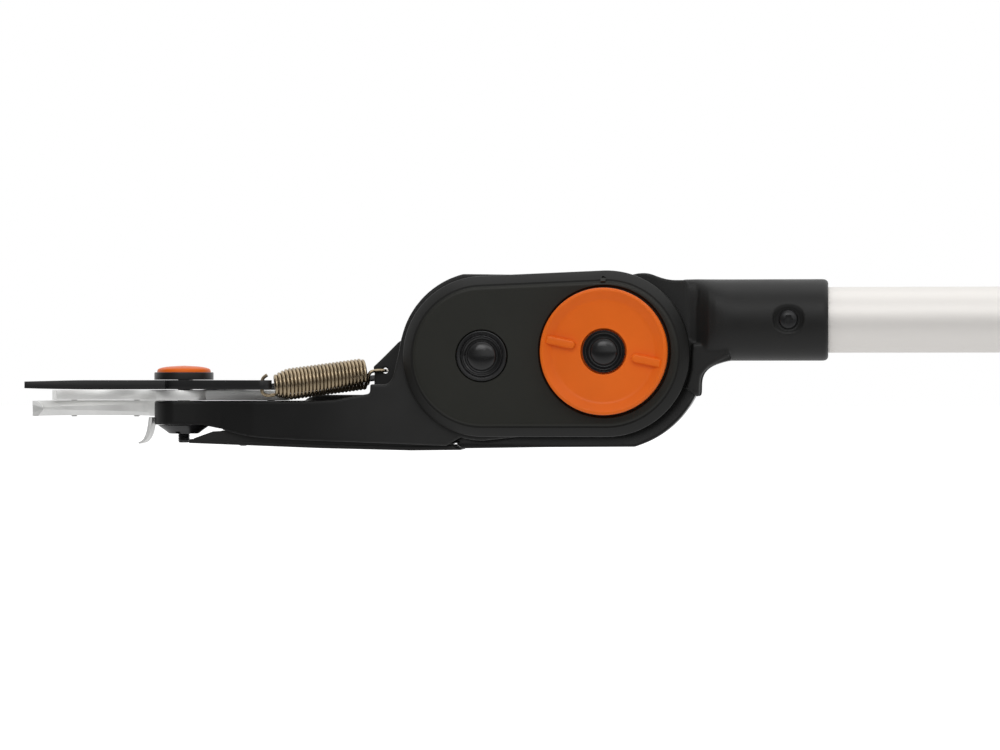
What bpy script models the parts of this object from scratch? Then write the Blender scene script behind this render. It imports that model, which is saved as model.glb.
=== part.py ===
"""A hand-worked pole pruner: head, knuckle, pole and grips. Metres, +Z up.

World frame: the origin is the centre of the end knob's flat face, on the pole's axis.
The pole runs along X and the head lies at -X. The blade's pivot stands along Z.
-Y is the near side, where the lock dial sits. Head pieces are placed from the knuckle axis.
"""

import bmesh
import bpy
from math import acos, atan2, ceil, cos, degrees, hypot, pi, radians, sin, sqrt
from mathutils import Matrix, Vector

# Strap
STRAP_WIDTH = 0.009
STRAP_THICK = 0.0012
BLADE_STRAP_WIDTH = 0.0042

# Pole and grips
POLE_R = 0.016
POLE_WALL = 0.0014
KNUCKLE_TO_BUTT = 1.295
KNOB_R = POLE_R + 0.007
KNOB_LENGTH = 0.044
FOAM_LENGTH = 0.26
FOAM_WALL = 0.0038
GRIP_LENGTH = 0.15
GRIP_R = POLE_R + 0.0065
GRIP_TRAVEL = 0.104
GRIP_SCREW_X = 0.055
GRIP_SCREW_Y = POLE_R + 0.0048
ANCHOR_BAR_R = 0.0022
ANCHOR_STEM = 0.0056

# Layers out from the middle plane: half widths, then the walls outside them
PULLEY_HALF = STRAP_WIDTH / 2 + 0.0019
GUARD_HALF = PULLEY_HALF + 0.0028
CHEEK_WALL = 0.0031
ARM_WALL = 0.003
COVER_DEPTH = 0.0075

# Knuckle and yoke
KNUCKLE_AXLE_R = 0.005
KNUCKLE_PULLEY_R = 0.0149
YOKE_R = 0.0375
BUMP_R = 0.0421
GUARD_R = 0.0484
GUARD_BOTTOM = GUARD_R - 0.0020
GUARD_WALL = 0.0024
YOKE_LIP = [(0.0492, -0.0084), (0.0462, -0.0119), (0.0457, -0.0211), (0.0443, -0.0220), (0.0375, -0.0162)]
POLE_MOUTH = 0.056
COLLAR_START = 0.062
COLLAR_END = 0.1078
COLLAR_WALL = 0.0036
COLLAR_SCREW_X = 0.0885
SCREW_R = 0.0024
SCREW_HEAD_R = 0.0047
SCREW_RECESS_R = 0.0074

# Reel at the front axle
REEL_X = -0.0597
REEL_Z = -0.0021
REEL_R = 0.030
REEL_HUB_R = 0.0047
REEL_AXLE_R = 0.003

# Covers, caps and dial
COVER_R = 0.0398
COVER_RIM = 0.0060
COVER_WALL = 0.0026
COVER_SCREW_R = 0.0015
COVER_SCREWS = [(-0.030, 0.030), (-0.030, -0.033), (-0.0835, 0.0195), (-0.0835, -0.0235)]
REEL_CAP_R = 0.0123
KNUCKLE_CAP_R = 0.0103
CAP_SINK = 0.0016
DIAL_SINK = 0.0012
DIAL_R = 0.0307
DIAL_DEPTH = 0.0092
DIAL_HOLE_R = 0.0111
RIDGE_ANGLE = radians(-12)

# Arm and blades, from the knuckle axis; the plates' heights are below it
PIVOT_X = -0.2115
PIVOT_BOLT_R = 0.003
PIVOT_HEAD_R = 0.0056
BOSS_R = 0.0147
ARM_TOP = -0.0243
ARM_FLOOR = -0.0360
ARM_CHEEK_R = 0.0413
BLADE_TOP = -0.0139
BLADE_THICK = 0.0045
COUNTER_THICK = 0.0051
HOOK_THICK = 0.0076
BLADE_LENGTH = 0.0822
BLADE_OPEN = radians(33)
MOUTH = (-0.0440, -0.0030)
MOUTH_R = 0.025
LEVER_HOLE = Vector((0.0429, -0.0190))
DRIVE_PIN = Vector((-0.0030, 0.0270))
DRIVE_PIN_R = 0.002
TAIL_SCREW_X = 0.0440
TAIL_SCREW_R = 0.0018
STRIP_SCREWS = [PIVOT_X + 0.030, REEL_X - 0.050]
STRIP_SCREW_R = 0.0014

# Return spring, from the blade's lever to a rib in the arm
SPRING_HOLE = (REEL_X - 0.0504, -0.0092)
SPRING_HOLE_R = 0.0016
SPRING_RIB = 0.0024
WIRE = 0.0014
SPRING_R = 0.0066
SPRING_END_R = 0.0041
SPRING_PITCH = 0.00185
CURL_POINTS = 8

# Clearances
SEAT = 0.0003
RUN = 0.0004
FIT = 0.0001
STRAP_GAP = 0.0003

# Worked out from the sizes above; the strap leaves the pulley on the pole's own axis
POLE_RISE = KNUCKLE_PULLEY_R + STRAP_THICK / 2
CHEEK_IN = GUARD_HALF + RUN
CHEEK_OUT = CHEEK_IN + CHEEK_WALL
ARM_IN = CHEEK_OUT + SEAT
ARM_OUT = ARM_IN + ARM_WALL
COVER_IN = ARM_OUT + SEAT
COVER_OUT = COVER_IN + COVER_DEPTH
COLLAR_BORE = POLE_R + SEAT
COLLAR_R = COLLAR_BORE + COLLAR_WALL
POLE_BORE = POLE_R - POLE_WALL
COUNTER_TOP = BLADE_TOP - BLADE_THICK - RUN
HOOK_TOP = COUNTER_TOP - COUNTER_THICK - SEAT
HOOK_BOTTOM = HOOK_TOP - HOOK_THICK
ARM_FRONT = PIVOT_X - BOSS_R

# Ways to turn a piece whose own axis is Z
NEAR = (pi / 2, 0, 0)
FAR = (-pi / 2, 0, 0)
ALONG = (0, pi / 2, 0)
UP = (0, 0, 0)
DOWN = (pi, 0, 0)

for old in list(bpy.data.objects):
    bpy.data.objects.remove(old)
PARTS = bpy.data.collections.new("pole_pruner")
CUTTERS = bpy.data.collections.new("cutters")
bpy.context.scene.collection.children.link(PARTS)
bpy.context.scene.collection.children.link(CUTTERS)


def finish(name, colour, roughness, metallic=0.0):
    made = bpy.data.materials.new(name)
    made.use_nodes = True
    shader = made.node_tree.nodes["Principled BSDF"]
    shader.inputs["Base Color"].default_value = (*colour, 1)
    shader.inputs["Roughness"].default_value = roughness
    shader.inputs["Metallic"].default_value = metallic
    return made


NYLON = finish("dark_nylon", (0.030, 0.030, 0.029), 0.5)
COVER_NYLON = finish("cover_nylon", (0.034, 0.035, 0.030), 0.45)
ORANGE = finish("orange_plastic", (0.64, 0.11, 0.010), 0.4)
COATED = finish("coated_blade", (0.035, 0.035, 0.035), 0.35, 0.3)
STEEL = finish("bright_steel", (0.62, 0.62, 0.61), 0.25, 1.0)
SPRING_STEEL = finish("spring_steel", (0.42, 0.37, 0.28), 0.3, 1.0)
ALUMINIUM = finish("anodised_aluminium", (0.63, 0.59, 0.55), 0.4, 0.7)
BLACK_STEEL = finish("black_steel", (0.02, 0.02, 0.022), 0.35, 0.6)
WEBBING = finish("webbing", (0.05, 0.05, 0.05), 0.9)
FOAM = finish("foam", (0.02, 0.02, 0.02), 0.9)


def empty(name, parent, location, rotation=UP):
    made = bpy.data.objects.new(name, None)
    PARTS.objects.link(made)
    made.parent = parent
    made.location = location
    made.rotation_euler = rotation
    return made


KNUCKLE = empty("knuckle_axis", None, (-KNUCKLE_TO_BUTT, 0, -POLE_RISE))
REEL = empty("reel_axis", KNUCKLE, (REEL_X, 0, REEL_Z))
PIVOT = empty("blade_pivot", KNUCKLE, (PIVOT_X, 0, 0))
BLADE = empty("blade_turned_open", PIVOT, (0, 0, 0), (0, 0, BLADE_OPEN))
POLE = empty("pole_axis", KNUCKLE, (0, 0, POLE_RISE))
SLIDE = empty("grip_slide", None, (-0.56, 0, 0))


def piece(name, mesh, parent, colour, location=(0, 0, 0), rotation=UP):
    made = bpy.data.objects.new(name, mesh)
    PARTS.objects.link(made)
    made.parent = parent
    made.location = location
    made.rotation_euler = rotation
    mesh.materials.append(colour)
    mesh.shade_smooth()
    mesh.set_sharp_from_angle(angle=radians(30))
    return made


def combine(target, tool, operation):
    """Cuts or joins with a tool piece, which goes to the cutters' collection."""
    PARTS.objects.unlink(tool)
    CUTTERS.objects.link(tool)
    tool.hide_render = True
    tool.display_type = "WIRE"
    boolean = target.modifiers.new(tool.name, "BOOLEAN")
    boolean.operation = operation
    boolean.object = tool


def cut(target, *tools):
    for tool in tools:
        combine(target, tool, "DIFFERENCE")


def join(target, *tools):
    for tool in tools:
        combine(target, tool, "UNION")


def mesh_of(bm, name):
    mesh = bpy.data.meshes.new(name)
    bmesh.ops.recalc_face_normals(bm, faces=bm.faces)
    bm.to_mesh(mesh)
    bm.free()
    return mesh


def rod_mesh(name, radius, length, sides=32, start=0.0, top_radius=None):
    """A cylinder or cone along Z from start to start + length."""
    bm = bmesh.new()
    top = radius if top_radius is None else top_radius
    bmesh.ops.create_cone(
        bm, cap_ends=True, segments=sides, radius1=radius, radius2=top, depth=length
    )
    bmesh.ops.translate(bm, verts=bm.verts, vec=(0, 0, start + length / 2))
    return mesh_of(bm, name)


def rod(name, radius, length, parent, colour, location, rotation=UP, sides=20, top_radius=None):
    return piece(
        name, rod_mesh(name, radius, length, sides, 0, top_radius), parent, colour, location, rotation
    )


def box(name, low, high, parent, colour=NYLON):
    bm = bmesh.new()
    bmesh.ops.create_cube(bm, size=1)
    size = Vector(high) - Vector(low)
    bmesh.ops.scale(bm, verts=bm.verts, vec=size)
    bmesh.ops.translate(bm, verts=bm.verts, vec=(Vector(high) + Vector(low)) / 2)
    return piece(name, mesh_of(bm, name), parent, colour)


def turned(name, profile, parent, colour, location=(0, 0, 0), rotation=UP, sides=40):
    """A profile of (radius, height) points, down its outer side, turned about Z."""
    bm = bmesh.new()
    points = [bm.verts.new((radius, 0, height)) for radius, height in profile]
    for first, second in zip(points, points[1:]):
        bm.edges.new((first, second))
    if profile[0][0] > 0 or profile[-1][0] > 0:
        bm.edges.new((points[-1], points[0]))
    mesh = bpy.data.meshes.new(name)
    bm.to_mesh(mesh)
    bm.free()
    made = piece(name, mesh, parent, colour, location, rotation)
    screw = made.modifiers.new("turn", "SCREW")
    screw.axis = "Z"
    screw.angle = 2 * pi
    screw.steps = sides
    screw.render_steps = sides
    screw.use_merge_vertices = True
    screw.merge_threshold = 0.00001
    screw.use_smooth_shade = True
    return made


def arc(centre, radius, start, end, step=9):
    """Points on an arc, angles in degrees, anticlockwise if end is larger."""
    count = max(1, ceil(abs(end - start) / step))
    return [
        (
            centre[0] + radius * cos(radians(start + (end - start) * i / count)),
            centre[1] + radius * sin(radians(start + (end - start) * i / count)),
        )
        for i in range(count + 1)
    ]


def circle(centre, radius, sides=32):
    return arc(centre, radius, 0, 360, 360 / sides)[:-1]


def plate(name, outline, thickness, parent, colour, location=(0, 0, 0), rotation=UP, holes=()):
    """A flat outline with its thickness centred on local Z, made a mesh so that it can be cut."""
    curve = bpy.data.curves.new(name, "CURVE")
    curve.dimensions = "2D"
    curve.fill_mode = "BOTH"
    curve.extrude = thickness / 2
    for loop in (outline, *holes):
        spline = curve.splines.new("POLY")
        spline.points.add(len(loop) - 1)
        for point, (x, y) in zip(spline.points, loop):
            point.co = (x, y, 0, 1)
        spline.use_cyclic_u = True
    drawn = bpy.data.objects.new(name, curve)
    PARTS.objects.link(drawn)
    bpy.context.view_layer.update()
    graph = bpy.context.evaluated_depsgraph_get()
    mesh = bpy.data.meshes.new_from_object(drawn.evaluated_get(graph))
    bpy.data.objects.remove(drawn)
    bpy.data.curves.remove(curve)
    bm = bmesh.new()
    bm.from_mesh(mesh)
    bmesh.ops.remove_doubles(bm, verts=bm.verts, dist=0.000001)
    bmesh.ops.dissolve_limit(bm, angle_limit=radians(0.1), verts=bm.verts, edges=bm.edges)
    bmesh.ops.recalc_face_normals(bm, faces=bm.faces)
    bm.to_mesh(mesh)
    bm.free()
    mesh.name = name
    return piece(name, mesh, parent, colour, location, rotation)


def bevel(target, width, segments=2, angle=40):
    made = target.modifiers.new("edges", "BEVEL")
    made.width = width
    made.segments = segments
    made.limit_method = "ANGLE"
    made.angle_limit = radians(angle)
    made.use_clamp_overlap = True
    return made


def ribbon(name, stations, width, thickness, parent, colour):
    """A flat strap through (point, across) stations, across being its width's direction."""
    bm = bmesh.new()
    rings = []
    for i, (point, across) in enumerate(stations):
        before = stations[max(i - 1, 0)][0]
        after = stations[min(i + 1, len(stations) - 1)][0]
        along = (after - before).normalized()
        wide = (across - along * across.dot(along)).normalized()
        deep = along.cross(wide)
        corners = [(1, 1), (-1, 1), (-1, -1), (1, -1)]
        rings.append(
            [bm.verts.new(point + wide * (a * width / 2) + deep * (b * thickness / 2)) for a, b in corners]
        )
    for first, second in zip(rings, rings[1:]):
        for i in range(4):
            bm.faces.new((first[i], first[i - 1], second[i - 1], second[i]))
    bm.faces.new(rings[0])
    bm.faces.new(reversed(rings[-1]))
    return piece(name, mesh_of(bm, name), parent, colour)


def wire_tube(name, points, diameter, parent, colour, sides_resolution=1):
    curve = bpy.data.curves.new(name, "CURVE")
    curve.dimensions = "3D"
    curve.bevel_depth = diameter / 2
    curve.bevel_resolution = sides_resolution
    curve.use_fill_caps = True
    spline = curve.splines.new("POLY")
    spline.points.add(len(points) - 1)
    for target, point in zip(spline.points, points):
        target.co = (*point, 1)
    made = bpy.data.objects.new(name, curve)
    PARTS.objects.link(made)
    made.parent = parent
    curve.materials.append(colour)
    return made


def through(name, radius, half, parent, location, sides=20):
    """A round cutter along Y, both ways from the middle plane."""
    return rod(name, radius, 2 * half, parent, NYLON, (location[0], half, location[1]), NEAR, sides)


def pole_tube():
    """A drawn tube, with a long slot below for the grip's strap anchor."""
    front = POLE_MOUTH - KNUCKLE_TO_BUTT
    length = -front - KNOB_LENGTH / 2
    tube = turned(
        "pole_tube",
        [(POLE_R, length), (POLE_R, 0), (POLE_BORE, 0), (POLE_BORE, length)],
        None,
        ALUMINIUM,
        (front, 0, 0),
        ALONG,
        32,
    )
    slot_start = SLIDE.location.x - ANCHOR_BAR_R - 0.006
    slot_end = SLIDE.location.x + GRIP_TRAVEL + ANCHOR_BAR_R + 0.006
    half = ANCHOR_STEM / 2 + RUN
    slot = box("slot", (slot_start, -half, -POLE_R - 0.002), (slot_end, half, -POLE_BORE + 0.003), None)
    screws = through("screw_bore", SCREW_R + FIT, POLE_R + 0.002, POLE, (COLLAR_SCREW_X, 0))
    cut(tube, slot, screws)


def yoke_collar():
    """The moulded socket over the pole's end and the fork that carries the knuckle axle."""
    top = POLE_RISE + COLLAR_R - 0.0004
    bottom = POLE_RISE - COLLAR_R
    outline = [
        (COLLAR_START, top),
        (0.0453, top - 0.0002),
        (0.0298, 0.0348),
        (0.0225, 0.0376),
        (0.0183, BUMP_R * 0.908),
        (0.0150, 0.0381),
        *arc((0, 0), YOKE_R, 76, 336.6),
        *reversed(YOKE_LIP),
        (0.0555, bottom - 0.0012),
        (COLLAR_START, bottom + 0.0001),
    ]
    yoke = plate("yoke_collar", outline, 2 * CHEEK_OUT, KNUCKLE, NYLON, rotation=NEAR)
    bevel(yoke, 0.0008, 1)
    round_end = 0.0022
    throat = 0.045
    socket = turned(
        "socket",
        [
            (0, COLLAR_END),
            (COLLAR_R - round_end, COLLAR_END),
            (COLLAR_R - round_end * 0.3, COLLAR_END - round_end * 0.3),
            (COLLAR_R, COLLAR_END - round_end),
            (COLLAR_R, COLLAR_START),
            (CHEEK_OUT, throat),
            (0, throat),
        ],
        POLE,
        NYLON,
        (0, 0, 0),
        ALONG,
        32,
    )
    join(yoke, socket)
    bore = rod("pole_bore", COLLAR_BORE, 0.1, POLE, NYLON, (POLE_MOUTH - SEAT, 0, 0), ALONG, 28)
    fork = through("fork_slot", GUARD_R + 0.0007, CHEEK_IN, KNUCKLE, (0, 0), 32)
    below = box("fork_below", (-0.06, -CHEEK_IN, -0.07), (0.0535, CHEEK_IN, -0.006), KNUCKLE)
    half = STRAP_WIDTH / 2 + 0.0020
    mouth = box("strap_mouth", (GUARD_R - 0.0084, -half, -0.006), (0.07, half, 0.006), POLE)
    axle = through("axle_bore", KNUCKLE_AXLE_R + FIT, 0.03, KNUCKLE, (0, 0))
    screws = through("collar_bore", SCREW_R + FIT, 0.03, POLE, (COLLAR_SCREW_X, 0))
    cut(yoke, bore, fork, below, mouth, axle, screws)
    floor = COLLAR_R - 0.0024
    for side, turn in ((-1, NEAR), (1, FAR)):
        recess = rod(
            f"recess_{side}", SCREW_RECESS_R, 0.01, POLE, NYLON, (COLLAR_SCREW_X, side * floor, 0), turn
        )
        cut(yoke, recess)
    for side, turn, label in ((-1, NEAR, "near"), (1, FAR, "far")):
        screw = turned(
            f"collar_screw_{label}",
            [
                (0, 0.0022),
                (0.0026, 0.0022),
                (SCREW_HEAD_R, 0.0010),
                (SCREW_HEAD_R, 0),
                (SCREW_R, 0),
                (SCREW_R, -0.009),
                (0, -0.009),
            ],
            POLE,
            BLACK_STEEL,
            (COLLAR_SCREW_X, side * (floor + SEAT), 0),
            turn,
            14,
        )
        drive = rod(f"drive_{side}", 0.0015, 0.004, screw, NYLON, (0, 0, 0.0012), sides=6)
        cut(screw, drive)


def pole_insert():
    """The plug in the pole's mouth, with the strap's channel and bores for the screws."""
    length = 0.046
    plug = rod("pole_insert", POLE_BORE - SEAT, length, POLE, NYLON, (POLE_MOUTH, 0, 0), ALONG, 28)
    channel = box(
        "strap_channel",
        (POLE_MOUTH - 0.01, -STRAP_WIDTH / 2 - 0.0008, -0.0025),
        (POLE_MOUTH + length + 0.01, STRAP_WIDTH / 2 + 0.0008, 0.0025),
        POLE,
    )
    screws = through("insert_bore", SCREW_R + FIT, 0.02, POLE, (COLLAR_SCREW_X, 0), 24)
    cut(plug, channel, screws)


def strap_guard():
    """The head's moulded trough below the knuckle pulley and reel: a rim and two side webs."""
    rim_end = REEL_X - 0.0110
    bottom_angle = degrees(acos(GUARD_BOTTOM / GUARD_R)) - 90
    outer = arc((0, 0), GUARD_R, -24, bottom_angle, 5) + [(rim_end, -GUARD_BOTTOM - 0.0010)]
    inner_r = GUARD_R - GUARD_WALL
    inner = arc((0, 0), inner_r, -24, bottom_angle - 1, 6)
    inner += [(rim_end - 0.0040, -GUARD_BOTTOM + GUARD_WALL)]
    guard = plate("strap_guard", outer + inner[::-1], 2 * GUARD_HALF, KNUCKLE, NYLON, rotation=NEAR)
    web = 0.0016
    hub = KNUCKLE_AXLE_R + 0.0045
    outline = arc((0, 0), GUARD_R - 0.0006, -24.5, bottom_angle, 6)
    outline += [
        (rim_end, -GUARD_BOTTOM - 0.0004),
        (rim_end - 0.0030, 0.0054 - GUARD_BOTTOM),
        (-0.0180, 0.0074 - GUARD_BOTTOM),
    ]
    outline += arc((0, 0), hub, 200, 0, 20)
    outline += [(0.0330, -0.0147)]
    for side in (-1, 1):
        middle = side * (GUARD_HALF - web / 2)
        join(guard, plate(f"web_{side}", outline, web, KNUCKLE, NYLON, (0, middle, 0), NEAR))
    cut(guard, through("guard_bore", KNUCKLE_AXLE_R + FIT, 0.02, KNUCKLE, (0, 0)))


def knuckle_pulley():
    """The roller that leads the strap off the pole's axis, turning on the knuckle axle."""
    groove = STRAP_WIDTH / 2 + 0.0005
    flange = KNUCKLE_PULLEY_R + 0.0030
    bore = KNUCKLE_AXLE_R + FIT
    profile = [
        (flange, PULLEY_HALF),
        (flange, groove + 0.0004),
        (KNUCKLE_PULLEY_R, groove),
        (KNUCKLE_PULLEY_R, -groove),
        (flange, -groove - 0.0004),
        (flange, -PULLEY_HALF),
        (bore, -PULLEY_HALF),
        (bore, PULLEY_HALF),
    ]
    turned("knuckle_pulley", profile, KNUCKLE, NYLON, rotation=NEAR, sides=24)


def strap_reel():
    """A wide drum that the pole's strap winds on, with a small hub for the blade's strap."""
    groove = STRAP_WIDTH / 2 + 0.0005
    flange = REEL_R + 0.0030
    side = groove + 0.0014
    bore = REEL_AXLE_R + FIT
    web = 0.0016
    hub = 0.0075
    rim = REEL_R - 0.0026
    end = ARM_IN - RUN
    profile = [
        (flange, side),
        (flange, groove),
        (REEL_R, groove),
        (REEL_R, -groove),
        (flange, -groove),
        (flange, -side),
        (rim, -side),
        (rim, -web),
        (hub, -web),
        (hub, -side),
        (REEL_HUB_R + 0.0012, -side),
        (REEL_HUB_R, -side - 0.0006),
        (REEL_HUB_R, -end + 0.0008),
        (REEL_HUB_R + 0.0019, -end + 0.0008),
        (REEL_HUB_R + 0.0019, -end),
        (bore, -end),
        (bore, side),
        (hub, side),
        (hub, web),
        (rim, web),
        (rim, side),
    ]
    turned("strap_reel", profile, REEL, NYLON, rotation=NEAR, sides=24)


def reel_tangents():
    """Angles where the strap leaves the knuckle pulley and lands on the reel."""
    span = hypot(REEL_X, REEL_Z)
    towards = degrees(atan2(REEL_Z, REEL_X)) % 360
    drum = REEL_R + STRAP_THICK / 2 + STRAP_GAP
    leave = towards - degrees(acos((POLE_RISE + STRAP_GAP + drum) / span))
    return leave, leave - 180, drum


def straps():
    """The strap from the pull grip to the reel, and the blade's strap, along their real routes."""
    across = Vector((0, 1, 0))
    split = 0.030
    start = SLIDE.location.x + KNUCKLE_TO_BUTT
    loop = ANCHOR_BAR_R + STRAP_THICK / 2 + 0.0002
    run = [
        Vector((start + loop * cos(radians(a)), 0, POLE_RISE + loop * sin(radians(a))))
        for a in range(-150, 91, 30)
    ]
    run += [Vector((x, 0, POLE_RISE + STRAP_GAP)) for x in (start - 0.03, split)]
    ribbon("pole_strap", [(p, across) for p in run], STRAP_WIDTH, STRAP_THICK, KNUCKLE, WEBBING)
    leave, land, drum = reel_tangents()
    over = [Vector((split - SEAT, 0, POLE_RISE + STRAP_GAP))]
    over += [Vector((x, 0, z)) for x, z in arc((0, 0), POLE_RISE + STRAP_GAP, 90, leave, 13)]
    over += [Vector((x, 0, z)) for x, z in arc((REEL_X, REEL_Z), drum, land, land - 300, 10)]
    ribbon("reel_strap", [(p, across) for p in over], STRAP_WIDTH, STRAP_THICK, KNUCKLE, WEBBING)
    side = (STRAP_WIDTH / 2 + 0.0019 + ARM_IN - RUN - 0.0008) / 2
    hub = REEL_HUB_R + STRAP_THICK / 2 + STRAP_GAP
    wound = [
        (Vector((x, side, z)), across) for x, z in arc((REEL_X, REEL_Z), hub, 150, -90, 20)
    ]
    pin = Vector((PIVOT_X + DRIVE_PIN.x, DRIVE_PIN.y, COUNTER_TOP - BLADE_STRAP_WIDTH / 2 - 0.0006))
    curl = DRIVE_PIN_R + STRAP_THICK / 2 + 0.0002
    ring = [
        (pin + Vector((curl * cos(radians(a)), curl * sin(radians(a)), 0)), Vector((0, 0, 1)))
        for a in range(-80, -361, -35)
    ]
    first, last = wound[-1][0], ring[0][0]
    steps = 9
    free = []
    for i in range(1, steps):
        share = i / steps
        twist = pi / 2 * share
        free.append((first.lerp(last, share), Vector((0, cos(twist), sin(twist)))))
    ribbon("blade_strap", wound + free + ring, BLADE_STRAP_WIDTH, STRAP_THICK, KNUCKLE, WEBBING)


def arm_outline():
    """The arm's side, seen from near: underside, knuckle end, rear cheek, spring rib, top."""
    front = ARM_FRONT
    cheek = arc((REEL_X, REEL_Z), ARM_CHEEK_R, 104, 168, 6)
    below = arc((REEL_X, REEL_Z), ARM_CHEEK_R, 246, 270, 8)
    return [
        (front, ARM_FLOOR),
        (PIVOT_X + 0.0115, ARM_FLOOR),
        (PIVOT_X + 0.0190, ARM_FLOOR - 0.0015),
        (PIVOT_X + 0.0275, ARM_FLOOR - 0.0040),
        (PIVOT_X + 0.0340, ARM_FLOOR - 0.0054),
        (PIVOT_X + 0.0425, ARM_FLOOR - 0.0064),
        (PIVOT_X + 0.0615, ARM_FLOOR - 0.0074),
        (REEL_X - 0.0183, -0.0460),
        *below[1:],
        *arc((0, 0), YOKE_R - 0.0005, 270, 450, 15),
        *cheek,
        (REEL_X - 0.0434, 0.0053),
        (REEL_X - 0.0563, -0.0073),
        (REEL_X - 0.0557, -0.0100),
        (REEL_X - 0.0560, -0.0205),
        (REEL_X - 0.0682, ARM_TOP + 0.0019),
        (REEL_X - 0.0735, ARM_TOP + 0.0007),
        (REEL_X - 0.0855, ARM_TOP + 0.0002),
        (front, ARM_TOP),
    ]


def spring_room(side):
    """A cutter for one side wall, which stops short of the spring rib."""
    outline = [
        (REEL_X - 0.0405, 0.0062),
        (REEL_X - 0.0417, 0.0000),
        (REEL_X - 0.0443, -0.0114),
        (REEL_X - 0.0454, -0.0138),
        (REEL_X - 0.0472, -0.0158),
        (REEL_X - 0.0700, -0.0160),
        (REEL_X - 0.0700, 0.0150),
        (REEL_X - 0.0440, 0.0150),
    ]
    reach = ARM_OUT + 0.002
    middle = (SPRING_RIB + reach) / 2
    return plate(
        "spring_room", outline, reach - SPRING_RIB, KNUCKLE, NYLON, (0, side * middle, 0), NEAR
    )


def arm():
    """The moulded arm: two side walls, a web and a spring rib between them, a boss in front."""
    body = plate("arm", arm_outline(), 2 * ARM_OUT, KNUCKLE, NYLON, rotation=NEAR)
    taper_start = 0.036
    plan = [
        *arc((PIVOT_X, 0), BOSS_R, 262, 98, 9),
        (PIVOT_X + taper_start, ARM_OUT + 0.001),
        (0.05, ARM_OUT + 0.001),
        (0.05, -ARM_OUT - 0.001),
        (PIVOT_X + taper_start, -ARM_OUT - 0.001),
    ]
    combine(body, plate("arm_plan", plan, 0.2, KNUCKLE, NYLON), "INTERSECT")
    channel_start = PIVOT_X + 0.0620
    reel_room = REEL_R + 0.0048
    web_top = ARM_TOP - 0.0028
    web_bottom = web_top - 0.0030
    rear = REEL_X - reel_room
    rib_start = REEL_X - 0.0575
    channel = [
        (channel_start, -ARM_IN),
        (rear - 0.0030, -ARM_IN),
        (rear - 0.0030, -SPRING_RIB),
        (rib_start, -SPRING_RIB),
        (rib_start, SPRING_RIB),
        (rear + 0.002, SPRING_RIB),
        (rear + 0.002, ARM_IN),
        (channel_start, ARM_IN),
    ]
    depth = 0.03 - web_top
    cut(
        body,
        box("rear_room", (rear, -ARM_IN, -0.08), (0.06, ARM_IN, 0.08), KNUCKLE),
        plate("top_channel", channel, depth, KNUCKLE, NYLON, (0, 0, web_top + depth / 2)),
        box("low_pocket", (PIVOT_X + 0.020, -ARM_IN, -0.08), (rear + 0.002, ARM_IN, web_bottom), KNUCKLE),
        spring_room(-1),
        spring_room(1),
        box(
            "strap_window",
            (REEL_X - 0.0568, ARM_IN - 0.002, ARM_TOP + 0.007),
            (REEL_X - 0.009, 0.03, -0.004),
            KNUCKLE,
        ),
    )
    rail = box(
        "far_rail",
        (channel_start - 0.0025, ARM_IN + FIT, ARM_TOP - 0.002),
        (rib_start + 0.0006, ARM_OUT - FIT, ARM_TOP + 0.0031),
        KNUCKLE,
    )
    join(body, rail)
    seat_r = BOSS_R - 0.0030
    seat = rod("hook_seat", seat_r, 0.02, PIVOT, NYLON, (0, 0, HOOK_BOTTOM - SEAT), UP, 40)
    way = box(
        "hook_way",
        (-0.03, -0.0040, HOOK_BOTTOM - SEAT),
        (0, BOSS_R + 0.005, ARM_TOP + 0.01),
        PIVOT,
    )
    bolt = rod("bolt_bore", PIVOT_BOLT_R + FIT, 0.06, PIVOT, NYLON, (0, 0, -0.06), UP)
    cut(body, seat, way, bolt)
    cut(
        body,
        through("arm_axle_bore", KNUCKLE_AXLE_R + FIT, 0.03, KNUCKLE, (0, 0)),
        through("arm_reel_bore", REEL_AXLE_R + FIT, 0.03, REEL, (0, 0)),
        through("spring_hole", SPRING_HOLE_R, 0.03, KNUCKLE, SPRING_HOLE, 20),
    )
    screw_bore = COVER_SCREW_R + FIT
    for i, (x, z) in enumerate(COVER_SCREWS):
        place = (x, ARM_IN - 0.001, z)
        cut(body, rod(f"arm_screw_bore_{i}", screw_bore, 0.02, KNUCKLE, NYLON, place, FAR, 10))
    tail = rod("tail_screw_bore", TAIL_SCREW_R + FIT, 0.02, PIVOT, NYLON, (TAIL_SCREW_X, 0, -0.04), UP)
    cut(body, tail)
    strip_bore = STRIP_SCREW_R + FIT
    for i, x in enumerate(STRIP_SCREWS):
        cut(body, rod(f"strip_screw_bore_{i}", strip_bore, 0.03, KNUCKLE, NYLON, (x, 0, -0.055), UP, 10))


def cover_outline(shrink=0.0):
    """An oval round both axles, its knuckle end a little larger."""
    front = (REEL_X, REEL_Z - 0.0002)
    back = (0.0006, -0.0010)
    radius = COVER_R - shrink
    tilt = degrees(atan2(back[1] - front[1], back[0] - front[0]))
    return arc(back, radius + 0.0006, tilt - 90, tilt + 90, 12) + arc(
        front, radius - 0.0006, tilt + 90, tilt + 270, 12
    )


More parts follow.
